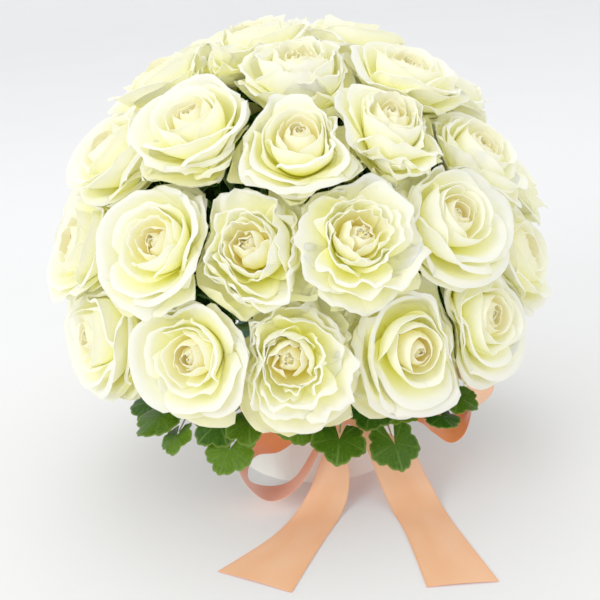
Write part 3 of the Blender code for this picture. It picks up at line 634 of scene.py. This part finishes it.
def with_waves(back, opening, across, along, draw, style):
    """Return how far back each point of a petal lies, with its ruffles, slow bend and spiral."""
    finer = 0.8 + 0.3 * style["ruffle"]
    wave = 0.0
    for height, low, high in RUFFLES:
        wave = wave + height * np.sin(tau * (draw.uniform(low, high) * finer * across + draw.random()))
    least, more = RUFFLE_HEIGHTS
    amount = (least + more * opening) * style["ruffle"] * draw.uniform(*RUFFLE_DRAW)
    amount = amount + CRUMPLE * max(0.0, 1 - opening / CRUMPLED_BELOW)
    slow = SLOW_BEND * np.sin(tau * (0.4 * across + draw.random()) + 2.5 * along) * along
    back = back + amount * wave * along ** 3 + slow * (0.4 + opening)
    return back + SPIRAL * across * (0.6 + opening)


def petal_grid(opening, centre, rows, columns, draw, style):
    """Return a petal's points in its bloom's own frame, with their angles and shares of its length."""
    across = np.sin(np.linspace(-1, 1, columns) * EDGE_CROWDING)[None, :] / sin(EDGE_CROWDING)
    along = (1 - (1 - np.linspace(0, 1, rows)) ** ROW_CROWDING)[:, None]
    side = np.abs(across)
    length = np.interp(opening, OPENINGS, PETAL_LENGTHS)
    width, top = petal_outline(opening, across, along, draw, style)
    lip = np.interp(opening, OPENINGS, LIP_WIDTHS) * style["roll"]
    turn = np.interp(opening, OPENINGS, LIP_TURNS)
    side_turn = np.where(across < 0, turn * draw.uniform(*LIP_DRAW), turn * draw.uniform(*LIP_DRAW))
    side_band = lip * SIDE_LIP * np.clip((along - 0.30) / 0.45, 0.05, 1.0) + 0 * across
    short_side, back_side = rolled((1 - side) * width, side_band, side_turn)
    short_tip, back_tip = rolled((1 - along) * top * length, lip, turn * draw.uniform(*TIP_LIP_DRAW))
    share = along * top - short_tip / length
    back = with_waves(np.hypot(back_side, back_tip), opening, across, along, draw, style)
    tables = (PETAL_RADII, PETAL_HEIGHTS)
    radius, height = [pulled(opening, table, share) for table in tables]
    before = [pulled(opening, table, share - CURVE_STEP) for table in tables]
    out, rise = [pulled(opening, table, share + CURVE_STEP) - low for table, low in zip(tables, before)]
    speed = np.hypot(out, rise)
    sideways = np.sign(across) * (side * width - short_side)
    angle = centre + np.clip(sideways / np.maximum(radius, LEAST_TURNED), -WIDEST_TURN, WIDEST_TURN)
    tilt = draw.uniform(-1, 1) * TILT * opening
    height = height - back * out / speed + tilt * across * along + draw.uniform(-1, 1) * RISE * along
    radius = np.maximum(radius + back * rise / speed, LEAST_RADIUS)
    grid = np.stack([radius * np.cos(angle), radius * np.sin(angle), height], axis=-1)
    return grid, angle, along * top


def petal_openings(style, draw):
    """Return how far each petal has opened: a tight bud, then its half-open petals and the open ones."""
    openings = []
    for count, (first, last) in zip(style["petals"], OPENING_GROUPS):
        for place in range(count):
            opening = first + (last - first) * place / (count - 1)
            openings.append((opening + draw.uniform(-OPENING_SHIFT, OPENING_SHIFT)) * style["open"])
    return openings


def add_bud(build, space, lean):
    """Add the tight bud that the innermost petals close round."""
    rotation, base, _ = space
    path = np.column_stack([lean * (BUD_HEIGHTS[:, None] / BUD_HEIGHT) ** 2, BUD_HEIGHTS])
    build.add(*tube_solid(path @ rotation.T + base, BUD_RADII, BUD_SIDES), (BUD_OPENING, 0.0, 0.0))


def open_petal(grid, angle, opening, reach, lean, space):
    """Return a petal's points in the arrangement, opened into its rose's space and leaning with its bud."""
    rotation, base, walls = space
    level = np.hypot(grid[..., 0], grid[..., 1])
    opened = np.clip((level - SPREAD_FROM) / SPREAD_OVER, 0, 1)
    opened = opened * opened * (3 - 2 * opened)
    widen = 1 + (cell_room(grid, angle, opening, space) * reach - 1) * opened
    grid[..., :2] *= widen[..., None]
    heart = np.clip(1 - opening / BUD_BELOW, 0, 1) * (np.clip(grid[..., 2], 0, BUD_TOP) / BUD_HEIGHT) ** 2
    grid[..., :2] += lean * heart[..., None]
    lift = rotation[:, 2] * np.interp(opening, *CROWD_LIFT)
    return keep_in_cell(grid @ rotation.T + base, walls, lift)


def make_bloom(place, space):
    """Build a rose's petals: they open on a spiral from the bud's heart, inside the rose's own space."""
    draw = random.Random(PETAL_SEED + place)
    style = ROSE_STYLES[place % len(ROSE_STYLES)]
    grids = FRONT_GRIDS if place < len(FRONT_ROSES) else BACK_GRIDS
    build = Build()
    spin = draw.uniform(0, tau)
    lean = np.array([draw.uniform(-1, 1), draw.uniform(-1, 1)]) * BUD_LEAN
    for number, opening in enumerate(petal_openings(style, draw)):
        centre = spin + number * GOLDEN_ANGLE + draw.uniform(-CENTRE_SHIFT, CENTRE_SHIFT)
        rows, columns = grids[int(opening > SMALL_PETAL) + int(opening > SKIRT_PETAL)]
        grid, angle, share = petal_grid(opening, centre, rows, columns, draw, style)
        reach = np.interp(opening, *TIP_SHARES)
        if WIDE_PETAL < opening < SKIRT_PETAL:
            reach *= draw.uniform(*PETAL_REACH)
        placed = open_petal(grid, angle, opening, reach, lean, space)
        thickness = PETAL_THICKNESS * (0.55 + 0.9 * np.clip(1 - share, 0, 1) ** 0.5)
        where = both_sides(share, opening, np.linspace(-1, 1, columns) + PETAL_TONES * number)
        build.add(*grid_solid(placed, thickness), where)
    add_bud(build, space, lean)
    name = f"rose_{place + 1:02d}"
    bloom = build.make(name + "_petals", ["petal_ivory"])
    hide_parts(name)
    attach(bloom, "root")


def make_stem(place, eye_distance, space):
    """Build what is green of a rose: stem, hip, five sepals and leaflets under the bloom."""
    draw = random.Random(STEM_SEED + place)
    rotation, base, _ = space
    build = Build()
    length = eye_distance - EYE_HEIGHT - STEM_START
    heights = np.array([-length * share for share in STEM_SHARES] + list(HIP_HEIGHTS))
    path = base + rotation[:, 2] * heights[:, None]
    build.add(*tube_solid(path, STEM_RADII, STEM_SIDES), NO_PLACE, STEM_SLOT)
    for number in range(SEPALS):
        add_sepal(build, number, space, draw)
    for drop, leaves, spread, steepness in COLLARS:
        depth = COLLAR_DROP + min(length * drop, length - COLLAR_CLEAR)
        for number in range(leaves):
            angle = (number + draw.uniform(-COLLAR_SHIFT, COLLAR_SHIFT)) * tau / leaves
            size = draw.uniform(*LEAFLET_SIZES)
            lower = depth + COLLAR_STEP * (number % 2)
            add_collar_leaf(build, angle, size, spread, steepness, lower, space, number + 3 * place)
    stem = build.make(f"rose_{place + 1:02d}_stem", LEAFY)
    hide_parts(f"rose_{place + 1:02d}")
    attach(stem, "root")


def add_sepal(build, number, space, draw):
    """Add one of the narrow leaves right under a bloom, which curl down."""
    along, across = LEAFLET_ALONG, LEAFLET_ACROSS
    angle = number * tau / SEPALS + draw.uniform(-SEPAL_SHIFT, SEPAL_SHIFT)
    width = SEPAL_WIDTH * np.sin(pi * (0.30 + 0.69 * along)) ** 0.9
    start, fall, curl = SEPAL_FALL
    height = start - fall * along - curl * along ** 2 * draw.uniform(*SEPAL_CURLS)
    height = height - 0.3 * np.abs(across) * width
    reach = SEPAL_REACH[0] + SEPAL_REACH[1] * along
    add_leaflet(build, angle, reach, width * across, height, space, number)


def add_collar_leaf(build, angle, size, spread, steepness, depth, space, number):
    """Add one toothed leaflet of a collar, which rises outward."""
    along, across = LEAFLET_ALONG, LEAFLET_ACROSS
    teeth = 1 + LEAFLET_TEETH * np.cos(along * pi * 7) * (along > 0.1)
    width = LEAFLET_WIDTH * size * np.sin(pi * along ** 0.8 * 0.985 + 0.02) ** 0.8 * teeth
    height = steepness * along - 0.012 * along ** 2 + 0.25 * np.abs(across) * width - depth
    reach = LEAFLET_START + spread * size * along
    add_leaflet(build, angle, reach, width * across, height, space, number)


def add_leaflet(build, angle, reach, sideways, height, space, number):
    """Add one small leaf, set by its reach, sideways place and height in the bloom's frame."""
    rotation, base, walls = space
    out = np.array([cos(angle), sin(angle), 0.0])
    side = np.array([-sin(angle), cos(angle), 0.0])
    grid = reach[..., None] * out + sideways[..., None] * side + height[..., None] * UP
    placed = keep_in_cell(grid @ rotation.T + base, walls, np.zeros(3))
    tone = LEAFLET_ACROSS + 1 + LEAF_TONES * number
    where = both_sides(LEAFLET_ALONG, np.abs(LEAFLET_ACROSS), tone)
    build.add(*grid_solid(placed, LEAFLET_THICKNESS), where)


def blade_outline(turn):
    """Return how far a round lobed leaf reaches at each turn from its stalk, as a share of its size."""
    lobes = np.abs(np.sin(LEAF_LOBES * turn / 2)) ** 0.7
    outline = LEAF_CUT + (1 - LEAF_CUT) * lobes + 0.055 * np.abs(np.sin(LEAF_LOBES * 1.5 * turn))
    notch = np.exp(-(turn % tau / NOTCH_WIDTH) ** 2) + np.exp(-((tau - turn) / NOTCH_WIDTH) ** 2)
    teeth = 0.030 * np.abs(np.sin(LEAF_TEETH * turn)) ** 0.6
    return outline + teeth - 0.28 * notch


def add_blade(build, fork, centre, size, outward, number, draw):
    """Add a round lobed leaf with scalloped, lightly waved edges, on a short stalk."""
    lengthwise = unit(centre - fork)
    normal = unit(outward - lengthwise * (outward @ lengthwise))
    sideways = np.cross(normal, lengthwise)
    root = centre - lengthwise * size * LEAF_NOTCH
    stalk = [fork - lengthwise * STALK_START, fork + (root - fork) * 0.5, root + lengthwise * size * 0.10]
    build.add(*tube_solid(stalk, STALK_RADII, STALK_SIDES), NO_PLACE, STEM_SLOT)
    angles = np.linspace(pi + LEAF_OPENING, 3 * pi - LEAF_OPENING, LEAF_STEPS)[None, :]
    turn = angles - pi
    shares = np.linspace(0.02, 1, LEAF_RINGS)[:, None]
    reach = size * blade_outline(turn) * shares
    phase = draw.uniform(0, tau)
    lift = -LEAF_DROOP * size * (1 + np.cos(angles)) / 2 * shares ** 1.5
    for waves, height, power in LEAF_WAVES:
        lift = lift + size * height * np.sin(waves * angles + phase) * shares ** power
    lift = lift + size * 0.035 * np.abs(np.sin(LEAF_LOBES * turn / 2 + pi / 2)) * shares
    grid = (centre + (reach * np.cos(angles))[..., None] * lengthwise
            + (reach * np.sin(angles))[..., None] * sideways + lift[..., None] * normal)
    vein = np.abs(((LEAF_LOBES * turn / tau) % 1.0) - 0.5) * 2
    where = both_sides(shares, vein, turn + LEAF_TONES * number)
    build.add(*grid_solid(grid, LEAF_THICKNESS), where)


def make_sprig(place, azimuth, leaves):
    """Build a leafy stem out of the foam, over the rim and down outside the box, with its leaves."""
    draw = random.Random(SPRIG_SEED + place)
    level = direction(azimuth)
    path = [level * distance + UP * (SPRIG_RIM_Z - drop) for distance, drop in SPRIG_PATH]
    smooth = smooth_path(path, SPRIG_STEPS)
    build = Build()
    build.add(*tube_solid(smooth, np.linspace(*SPRIG_RADII, SPRIG_STEPS), SPRIG_SIDES), NO_PLACE, STEM_SLOT)
    from_the_top = sorted(leaves, key=lambda leaf: -leaf[2])
    for number, (leaf_azimuth, distance, height, size) in enumerate(from_the_top):
        centre = direction(leaf_azimuth) * distance + UP * height
        share = 1.0 if number == len(leaves) - 1 else (number + FORK_START) / len(leaves)
        fork = path[2] * (1 - share) + path[3] * share
        size *= 1.0 if place < FRONT_SPRIGS else BACK_LEAF_SCALE
        add_blade(build, fork, centre, size, direction(leaf_azimuth, LEAF_FACING), number + place, draw)
    name = f"leaf_sprig_{place + 1:02d}"
    sprig = build.make(name + "_leaves", LEAFY)
    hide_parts(name)
    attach(sprig, "root")


def smooth_path(points, count):
    """Return a given number of points on a smooth curve through listed points."""
    points = np.array(points)
    last = len(points) - 1
    place = last * np.arange(count) / (count - 1)
    left = np.minimum(place.astype(int), last - 1)
    share = (place - left)[:, None]
    before, start, end, after = [points[np.clip(left + step, 0, last)] for step in (-1, 0, 1, 2)]
    return 0.5 * (
        2 * start + (end - before) * share + (2 * before - 5 * start + 4 * end - after) * share ** 2
        + (3 * start - before - 3 * end + after) * share ** 3)


def knot_point(right, out, up):
    """Return points in the arrangement from their places in the knot's own frame."""
    turn = radians(KNOT_TURN)
    radius = BOX_RADIUS + GAP + RIBBON_SOLID + GAP + KNOT_SIZE[1] / 2 + out
    sideways = np.array([cos(turn), sin(turn), 0.0])
    parts = ((direction(KNOT_TURN), radius), (sideways, right), (UP, KNOT_HEIGHT + up))
    return sum(axis * np.asarray(amount)[..., None] for axis, amount in parts)


def make_strip(name, edges, bow, shade_first):
    """Build a length of ribbon between its two edges, the painted shade of its reverse colour on the first
    or the second side.
    """
    left = smooth_path(edges[0], STRIP_ROWS)
    right = smooth_path(edges[1], STRIP_ROWS)
    across = np.linspace(0, 1, STRIP_COLUMNS)[None, :, None]
    grid = left[:, None] * (1 - across) + right[:, None] * across
    grid = grid + grid_normals(grid) * bow * np.sin(pi * across)
    grid[..., 2] = np.maximum(grid[..., 2], TABLE_GAP)
    length = np.concatenate([[0], np.cumsum(np.linalg.norm(np.diff((left + right) / 2, axis=0), axis=1))])
    # The side chosen by the last argument gets the painted shade of the reverse colour
    sides = [surface_places(across[..., 0], length[:, None], shaded_side) for shaded_side in (shade_first, 1 - shade_first)]
    build = Build()
    build.add(*grid_solid(grid, SATIN_THICKNESS), np.concatenate(sides))
    strip = build.make(name + "_satin", ["satin_peach"])
    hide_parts(name)
    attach(strip, "root")
    width = float(np.mean(np.linalg.norm(right - left, axis=1)))
    return strip, (width, float(length[-1]))


def make_ribbon():
    """Build the band, knot, loops and tails of the bow."""
    for side in ("left", "right"):
        outward = 1 if side == "right" else -1
        start = outward * (KNOT_SIZE[0] / 2 + KNOT_GAP)
        high, low = LOOP_ENDS[side]
        edges = []
        for out, curve in zip(LOOP_EDGES, LOOP_CURVES[side]):
            first = knot_point(start, out, high)
            edges.append([first, *curve, knot_point(start + outward * GAP, out, low)])
        loop, flat = make_strip("ribbon_loop_" + side, edges, LOOP_BOW, int(side == "left"))
        low = -KNOT_SIZE[2] / 2 - KNOT_GAP
        edges = []
        for start, curve in zip(TAIL_EDGES[side], TAIL_CURVES[side]):
            edges.append([knot_point(start, 0.0, low), *[(x, y, z + TABLE_GAP) for x, y, z in curve]])
        tail, flat = make_strip("ribbon_tail_" + side, edges, TAIL_BOW, 1)
    make_band()
    make_knot()


def make_band():
    """Build the ribbon drawn flat round the box."""
    angles = np.linspace(0, tau, BAND_STEPS, endpoint=True)[:, None]
    up = np.linspace(0, 1, BAND_COLUMNS)[None, :]
    radius = BOX_RADIUS + GAP + RIBBON_SOLID / 2 + BAND_WAVE * np.sin(9 * angles) * np.abs(2 * up - 1) ** 3
    height = BAND_BOTTOM + RIBBON_WIDTH * up + 0 * angles
    turns = angles + pi / 2
    grid = np.stack([radius * np.cos(turns), radius * np.sin(turns), height], axis=-1)
    grid[-1] = grid[0]
    build = Build()
    build.add(*grid_solid(grid, SATIN_THICKNESS), both_sides(up, angles * BOX_RADIUS, 0.0))
    band = build.make("ribbon_band_satin", ["satin_peach"])
    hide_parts("ribbon_band")
    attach(band, "root")


def make_knot():
    """Build the knot: a turn of ribbon drawn tight over the bow's middle, its pleats running round it."""
    right = np.linspace(-1, 1, KNOT_RINGS)[:, None]
    turn = (np.arange(KNOT_STEPS) * tau / KNOT_STEPS)[None, :]
    end = (1 - np.abs(right) ** 5) ** 0.4
    pleats = 1 + 0.055 * np.sin(15 * right + 0.8 * np.sin(turn)) + 0.03 * np.sin(31 * right + np.cos(turn))
    squeeze = 0.86 + 0.14 * np.abs(right) ** 2
    wide, thick = KNOT_FILL
    out, up = [thick * half / 2 * squeeze * end * pleats for half in KNOT_SIZE[1:]]
    corner, other = [np.sign(part) * np.abs(part) ** KNOT_CORNERS for part in (np.cos(turn), np.sin(turn))]
    grid = knot_point(right * KNOT_SIZE[0] / 2 * wide, out * corner, up * other)
    where = surface_places((right + 1) / 2, turn * KNOT_REACH, 0.0)
    build = Build()
    build.add(grid.reshape(-1, 3), ring_faces(KNOT_RINGS, KNOT_STEPS)[:, ::-1], where)
    knot = build.make("ribbon_knot_satin", ["satin_peach"])
    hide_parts("ribbon_knot")
    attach(knot, "root")


def new_material(name):
    """Return the shader of a new material."""
    material = bpy.data.materials.new(name)
    material.use_nodes = True
    return material.node_tree.nodes["Principled BSDF"]


def set_input(socket, value):
    """Give a socket a constant number or colour, or link it to another node's socket."""
    if isinstance(value, bpy.types.NodeSocket):
        socket.id_data.links.new(value, socket)
    elif socket.type == "RGBA":
        socket.default_value = (*value, 1.0)
    else:
        socket.default_value = value


def set_inputs(node, **inputs):
    """Set some of a node's inputs by name, where an underscore stands for a space."""
    for name, value in inputs.items():
        set_input(node.inputs[name.replace("_", " ")], value)


def add_node(source, kind, **inputs):
    """Return a new node with some of its inputs set, in the tree of a socket or a node."""
    node = source.id_data.nodes.new(kind)
    set_inputs(node, **inputs)
    return node


def maths(operation, first, second=0.0, clamp=False):
    """Return the output of a maths node; one value is a socket, the other a socket or a number."""
    node = add_node(second if isinstance(first, float) else first, "ShaderNodeMath")
    node.operation = operation
    node.use_clamp = clamp
    set_input(node.inputs[0], first)
    set_input(node.inputs[1], second)
    return node.outputs[0]


def times(value, factor, clamp=False):
    """Return a socket's value times a number."""
    return maths("MULTIPLY", value, factor, clamp)


def ramp(factor, stops):
    """Return the colour output of a ramp with these (place, colour) stops."""
    node = add_node(factor, "ShaderNodeValToRGB")
    while len(node.color_ramp.elements) < len(stops):
        node.color_ramp.elements.new(0.5)
    for element, (place, colour) in zip(node.color_ramp.elements, stops):
        element.position = place
        element.color = (*colour, 1.0)
    set_input(node.inputs[0], factor)
    return node.outputs[0]


def noise_colours(noise, colours, low=0.3, high=0.7):
    """Return the colour output of a ramp between the two colours of a noise."""
    return ramp(noise, [(low, colours[0]), (high, colours[1])])


def mix(factor, first, second):
    """Return the mix of two colours; each value is a colour or a socket."""
    node = add_node(factor, "ShaderNodeMix")
    node.data_type = "RGBA"
    for place, value in ((0, factor), (6, first), (7, second)):
        set_input(node.inputs[place], value)
    return node.outputs[2]


def place_sockets(shader):
    """Return the whole place vector and its three parts."""
    attribute = add_node(shader, "ShaderNodeAttribute")
    attribute.attribute_name = "place"
    vector = attribute.outputs["Vector"]
    return vector, *add_node(vector, "ShaderNodeSeparateXYZ", Vector=vector).outputs


def stretched_noise(vector, scale, stretch, detail=3.0):
    """Return the value of a noise whose coordinates are stretched."""
    mapping = add_node(vector, "ShaderNodeMapping", Scale=stretch, Vector=vector)
    noise = add_node(vector, "ShaderNodeTexNoise", Scale=scale, Detail=detail, Vector=mapping.outputs[0])
    return noise.outputs["Fac"]


def bump(height, strength, distance):
    """Return the normal output of a bump from a height socket."""
    return add_node(height, "ShaderNodeBump", Strength=strength, Distance=distance, Height=height).outputs[0]


def petal_material():
    """Make ivory petals, yellow-green at the base and warm in the bud's heart, with fine veins; the deeper
    base colours are partly painted shade for the creases and the heart.
    """
    shader = new_material("petal_ivory")
    vector, share, opening, _ = place_sockets(shader)
    veins = stretched_noise(vector, 3.0, (1.4, 1.0, 9.0))
    shift = times(maths("SUBTRACT", veins, 0.5), 0.16)
    shifted = maths("ADD", share, shift)
    # Colour deepens towards each petal's base and the heart: partly the petals' own tint, partly painted
    # shade in the creases and the heart
    depth = ramp(opening, [(0.02, BLACK), (0.42, WHITE)])
    inner, outer = [ramp(shifted, stops) for stops in (PETAL_HEART, PETAL_OUTER)]
    colour = mix(depth, inner, outer)
    # Outermost petals turn greener: partly their own colour, partly painted shade low between the roses
    skirt = ramp(times(opening, 0.7), [(0.70, BLACK), (0.95, WHITE)])
    colour = mix(skirt, colour, PETAL_SKIRT)
    spots = stretched_noise(vector, 2.0, (2.0, 1.0, 1.5), 2.0)
    colour = mix(times(spots, 0.22), colour, PETAL_SPOTS)
    soft = ramp(opening, [(0.30, (0.02, 0.02, 0.02)), (0.80, (0.50, 0.50, 0.50))])
    set_inputs(shader, Base_Color=colour, Roughness=0.55, Specular_IOR_Level=0.12, Sheen_Weight=0.05)
    set_inputs(shader, Subsurface_Weight=soft, Subsurface_Radius=PETAL_GLOW, Subsurface_Scale=0.004)
    set_inputs(shader, Normal=bump(veins, 0.25, 0.0006))


def leaf_material():
    """Make dark green leaves with paler veins and edges."""
    shader = new_material("leaf_dark_green")
    vector, share, vein, turn = place_sockets(shader)
    blotch = stretched_noise(vector, 4.0, (2.0, 1.0, 2.0))
    number = maths("FLOOR", maths("DIVIDE", turn, LEAF_TONES))
    tone = maths("FRACT", times(number, 0.618))
    dark, light = [noise_colours(blotch, colours, 0.25, 0.75) for colours in (LEAF_DARK, LEAF_LIGHT)]
    body = mix(maths("POWER", tone, 1.5), dark, light)
    rim = times(maths("SUBTRACT", share, 0.90, True), 5.0, True)
    line = times(maths("SUBTRACT", 0.12, vein, True), 6.0, True)
    colour = mix(line, mix(rim, body, LEAF_RIM), LEAF_VEIN)
    height = maths("SUBTRACT", blotch, times(line, 0.6))
    set_inputs(shader, Base_Color=colour, Roughness=0.46, Specular_IOR_Level=0.05)
    set_inputs(shader, Normal=bump(height, 0.5, 0.0008))


def satin_material():
    """Make peach satin: fine threads across the ribbon, a woven edge, a soft shine and a deeper orange
    reverse side, which is painted shade for the insides of the loops.
    """
    shader = new_material("satin_peach")
    vector, across, along, shaded_side = place_sockets(shader)
    threads = maths("SINE", times(along, SATIN_THREADS))
    edge = maths("ABSOLUTE", maths("SUBTRACT", across, 0.5))
    selvage = maths("GREATER_THAN", edge, 0.475)
    cloud = stretched_noise(vector, 2.2, (1.0, 10.0, 1.0), 1.0)
    colour = mix(selvage, noise_colours(cloud, SATIN_FACE), SATIN_SELVAGE)
    # Painted shade: the reverse side turns a deeper orange, for the insides of the loops
    colour = mix(shaded_side, colour, noise_colours(cloud, SATIN_PAINTED_SHADE))
    roughness = maths("MULTIPLY_ADD", cloud, 0.12)
    roughness.node.inputs[2].default_value = 0.30
    height = maths("ADD", times(threads, 0.4), times(cloud, 0.6))
    set_inputs(shader, Base_Color=colour, Roughness=roughness, Specular_IOR_Level=0.55)
    set_inputs(shader, Sheen_Weight=0.06, Sheen_Roughness=0.35, Normal=bump(height, 0.12, 0.0003))


def surface_material(name, low, high, scale, detail, stretch, roughness, strength, distance):
    """Make a material of two close colours in a noise, with the same noise as its grain."""
    shader = new_material(name)
    coordinates = add_node(shader, "ShaderNodeTexCoord")
    noise = stretched_noise(coordinates.outputs["Object"], scale, stretch, detail)
    set_inputs(shader, Base_Color=noise_colours(noise, (low, high)), Roughness=roughness)
    if strength:
        set_inputs(shader, Normal=bump(noise, strength, distance))


def dress_nodes(frame):
    """Give the kept CAD nodes their materials."""
    for name, finish in FINISHES.items():
        for slot in frame["nodes"][name].material_slots:
            slot.material = bpy.data.materials[finish]


def make_stage():
    """Build the pale round floor that sweeps up far from the object on all sides."""
    profile = [(FLOOR_START, 0.0), (FLOOR_FLAT, 0.0)]
    for step in range(1, FLOOR_BENDS + 1):
        angle = pi / 2 * step / FLOOR_BENDS
        profile.append((FLOOR_FLAT + FLOOR_SWEEP * sin(angle), FLOOR_SWEEP * (1 - cos(angle))))
    turns = [tau * step / FLOOR_STEPS for step in range(FLOOR_STEPS)]
    points = [(reach * cos(turn), reach * sin(turn), z) for reach, z in profile for turn in turns]
    mesh = bpy.data.meshes.new("floor")
    mesh.from_pydata(points, [], ring_faces(len(profile), FLOOR_STEPS)[:, ::-1].tolist())
    mesh.shade_smooth()
    mesh.materials.append(bpy.data.materials["floor_pale"])
    floor = add_object("floor", mesh)


def make_lights():
    """Light the object as a bright, soft studio does, strongest from the front left and above."""
    world = bpy.data.worlds.new("studio")
    world.use_nodes = True
    set_inputs(world.node_tree.nodes["Background"], Color=WORLD_COLOUR, Strength=WORLD_STRENGTH)
    bpy.context.scene.world = world
    for name, (place, size, power, colour) in LAMPS.items():
        lamp = bpy.data.lights.new(name, "AREA")
        lamp.shape = "DISK"
        lamp.size = size
        lamp.energy = power
        lamp.color = colour
        holder = add_object(name, lamp)
        holder.location = place
        holder.rotation_euler = (Vector(LAMP_TARGET) - Vector(place)).to_track_quat("-Z", "Y").to_euler()


def make_camera():
    """Place the camera where the photograph was taken from, with its slight roll."""
    data = bpy.data.cameras.new("camera")
    data.lens = CAMERA_LENS
    data.sensor_width = CAMERA_SENSOR
    camera = add_object("camera", data)
    tilt = Matrix.Rotation(pi / 2 - CAMERA_PITCH, 4, "X") @ Matrix.Rotation(-CAMERA_ROLL, 4, "Z")
    camera.matrix_world = Matrix.Translation(CAMERA_PLACE) @ tilt
    bpy.context.scene.camera = camera


def main():
    """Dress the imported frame."""
    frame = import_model()
    petal_material()
    leaf_material()
    satin_material()
    for name, values in SURFACES.items():
        surface_material(name, *values)
    directions = spread_roses()
    axes = rose_axes(directions)
    for place in range(len(directions)):
        space = rose_space(place, axes, directions)
        make_bloom(place, space)
        make_stem(place, axes[place][1], space)
    for place, (azimuth, leaves) in enumerate(SPRIGS):
        make_sprig(place, azimuth, leaves)
    make_ribbon()
    dress_nodes(frame)
    make_stage()
    make_lights()
    make_camera()
    scene = bpy.context.scene
    scene.view_settings.view_transform = "Standard"
    scene.view_settings.gamma = FILM_GAMMA
    scene.cycles.max_bounces = LIGHT_BOUNCES
    scene.cycles.diffuse_bounces = LIGHT_BOUNCES


main()
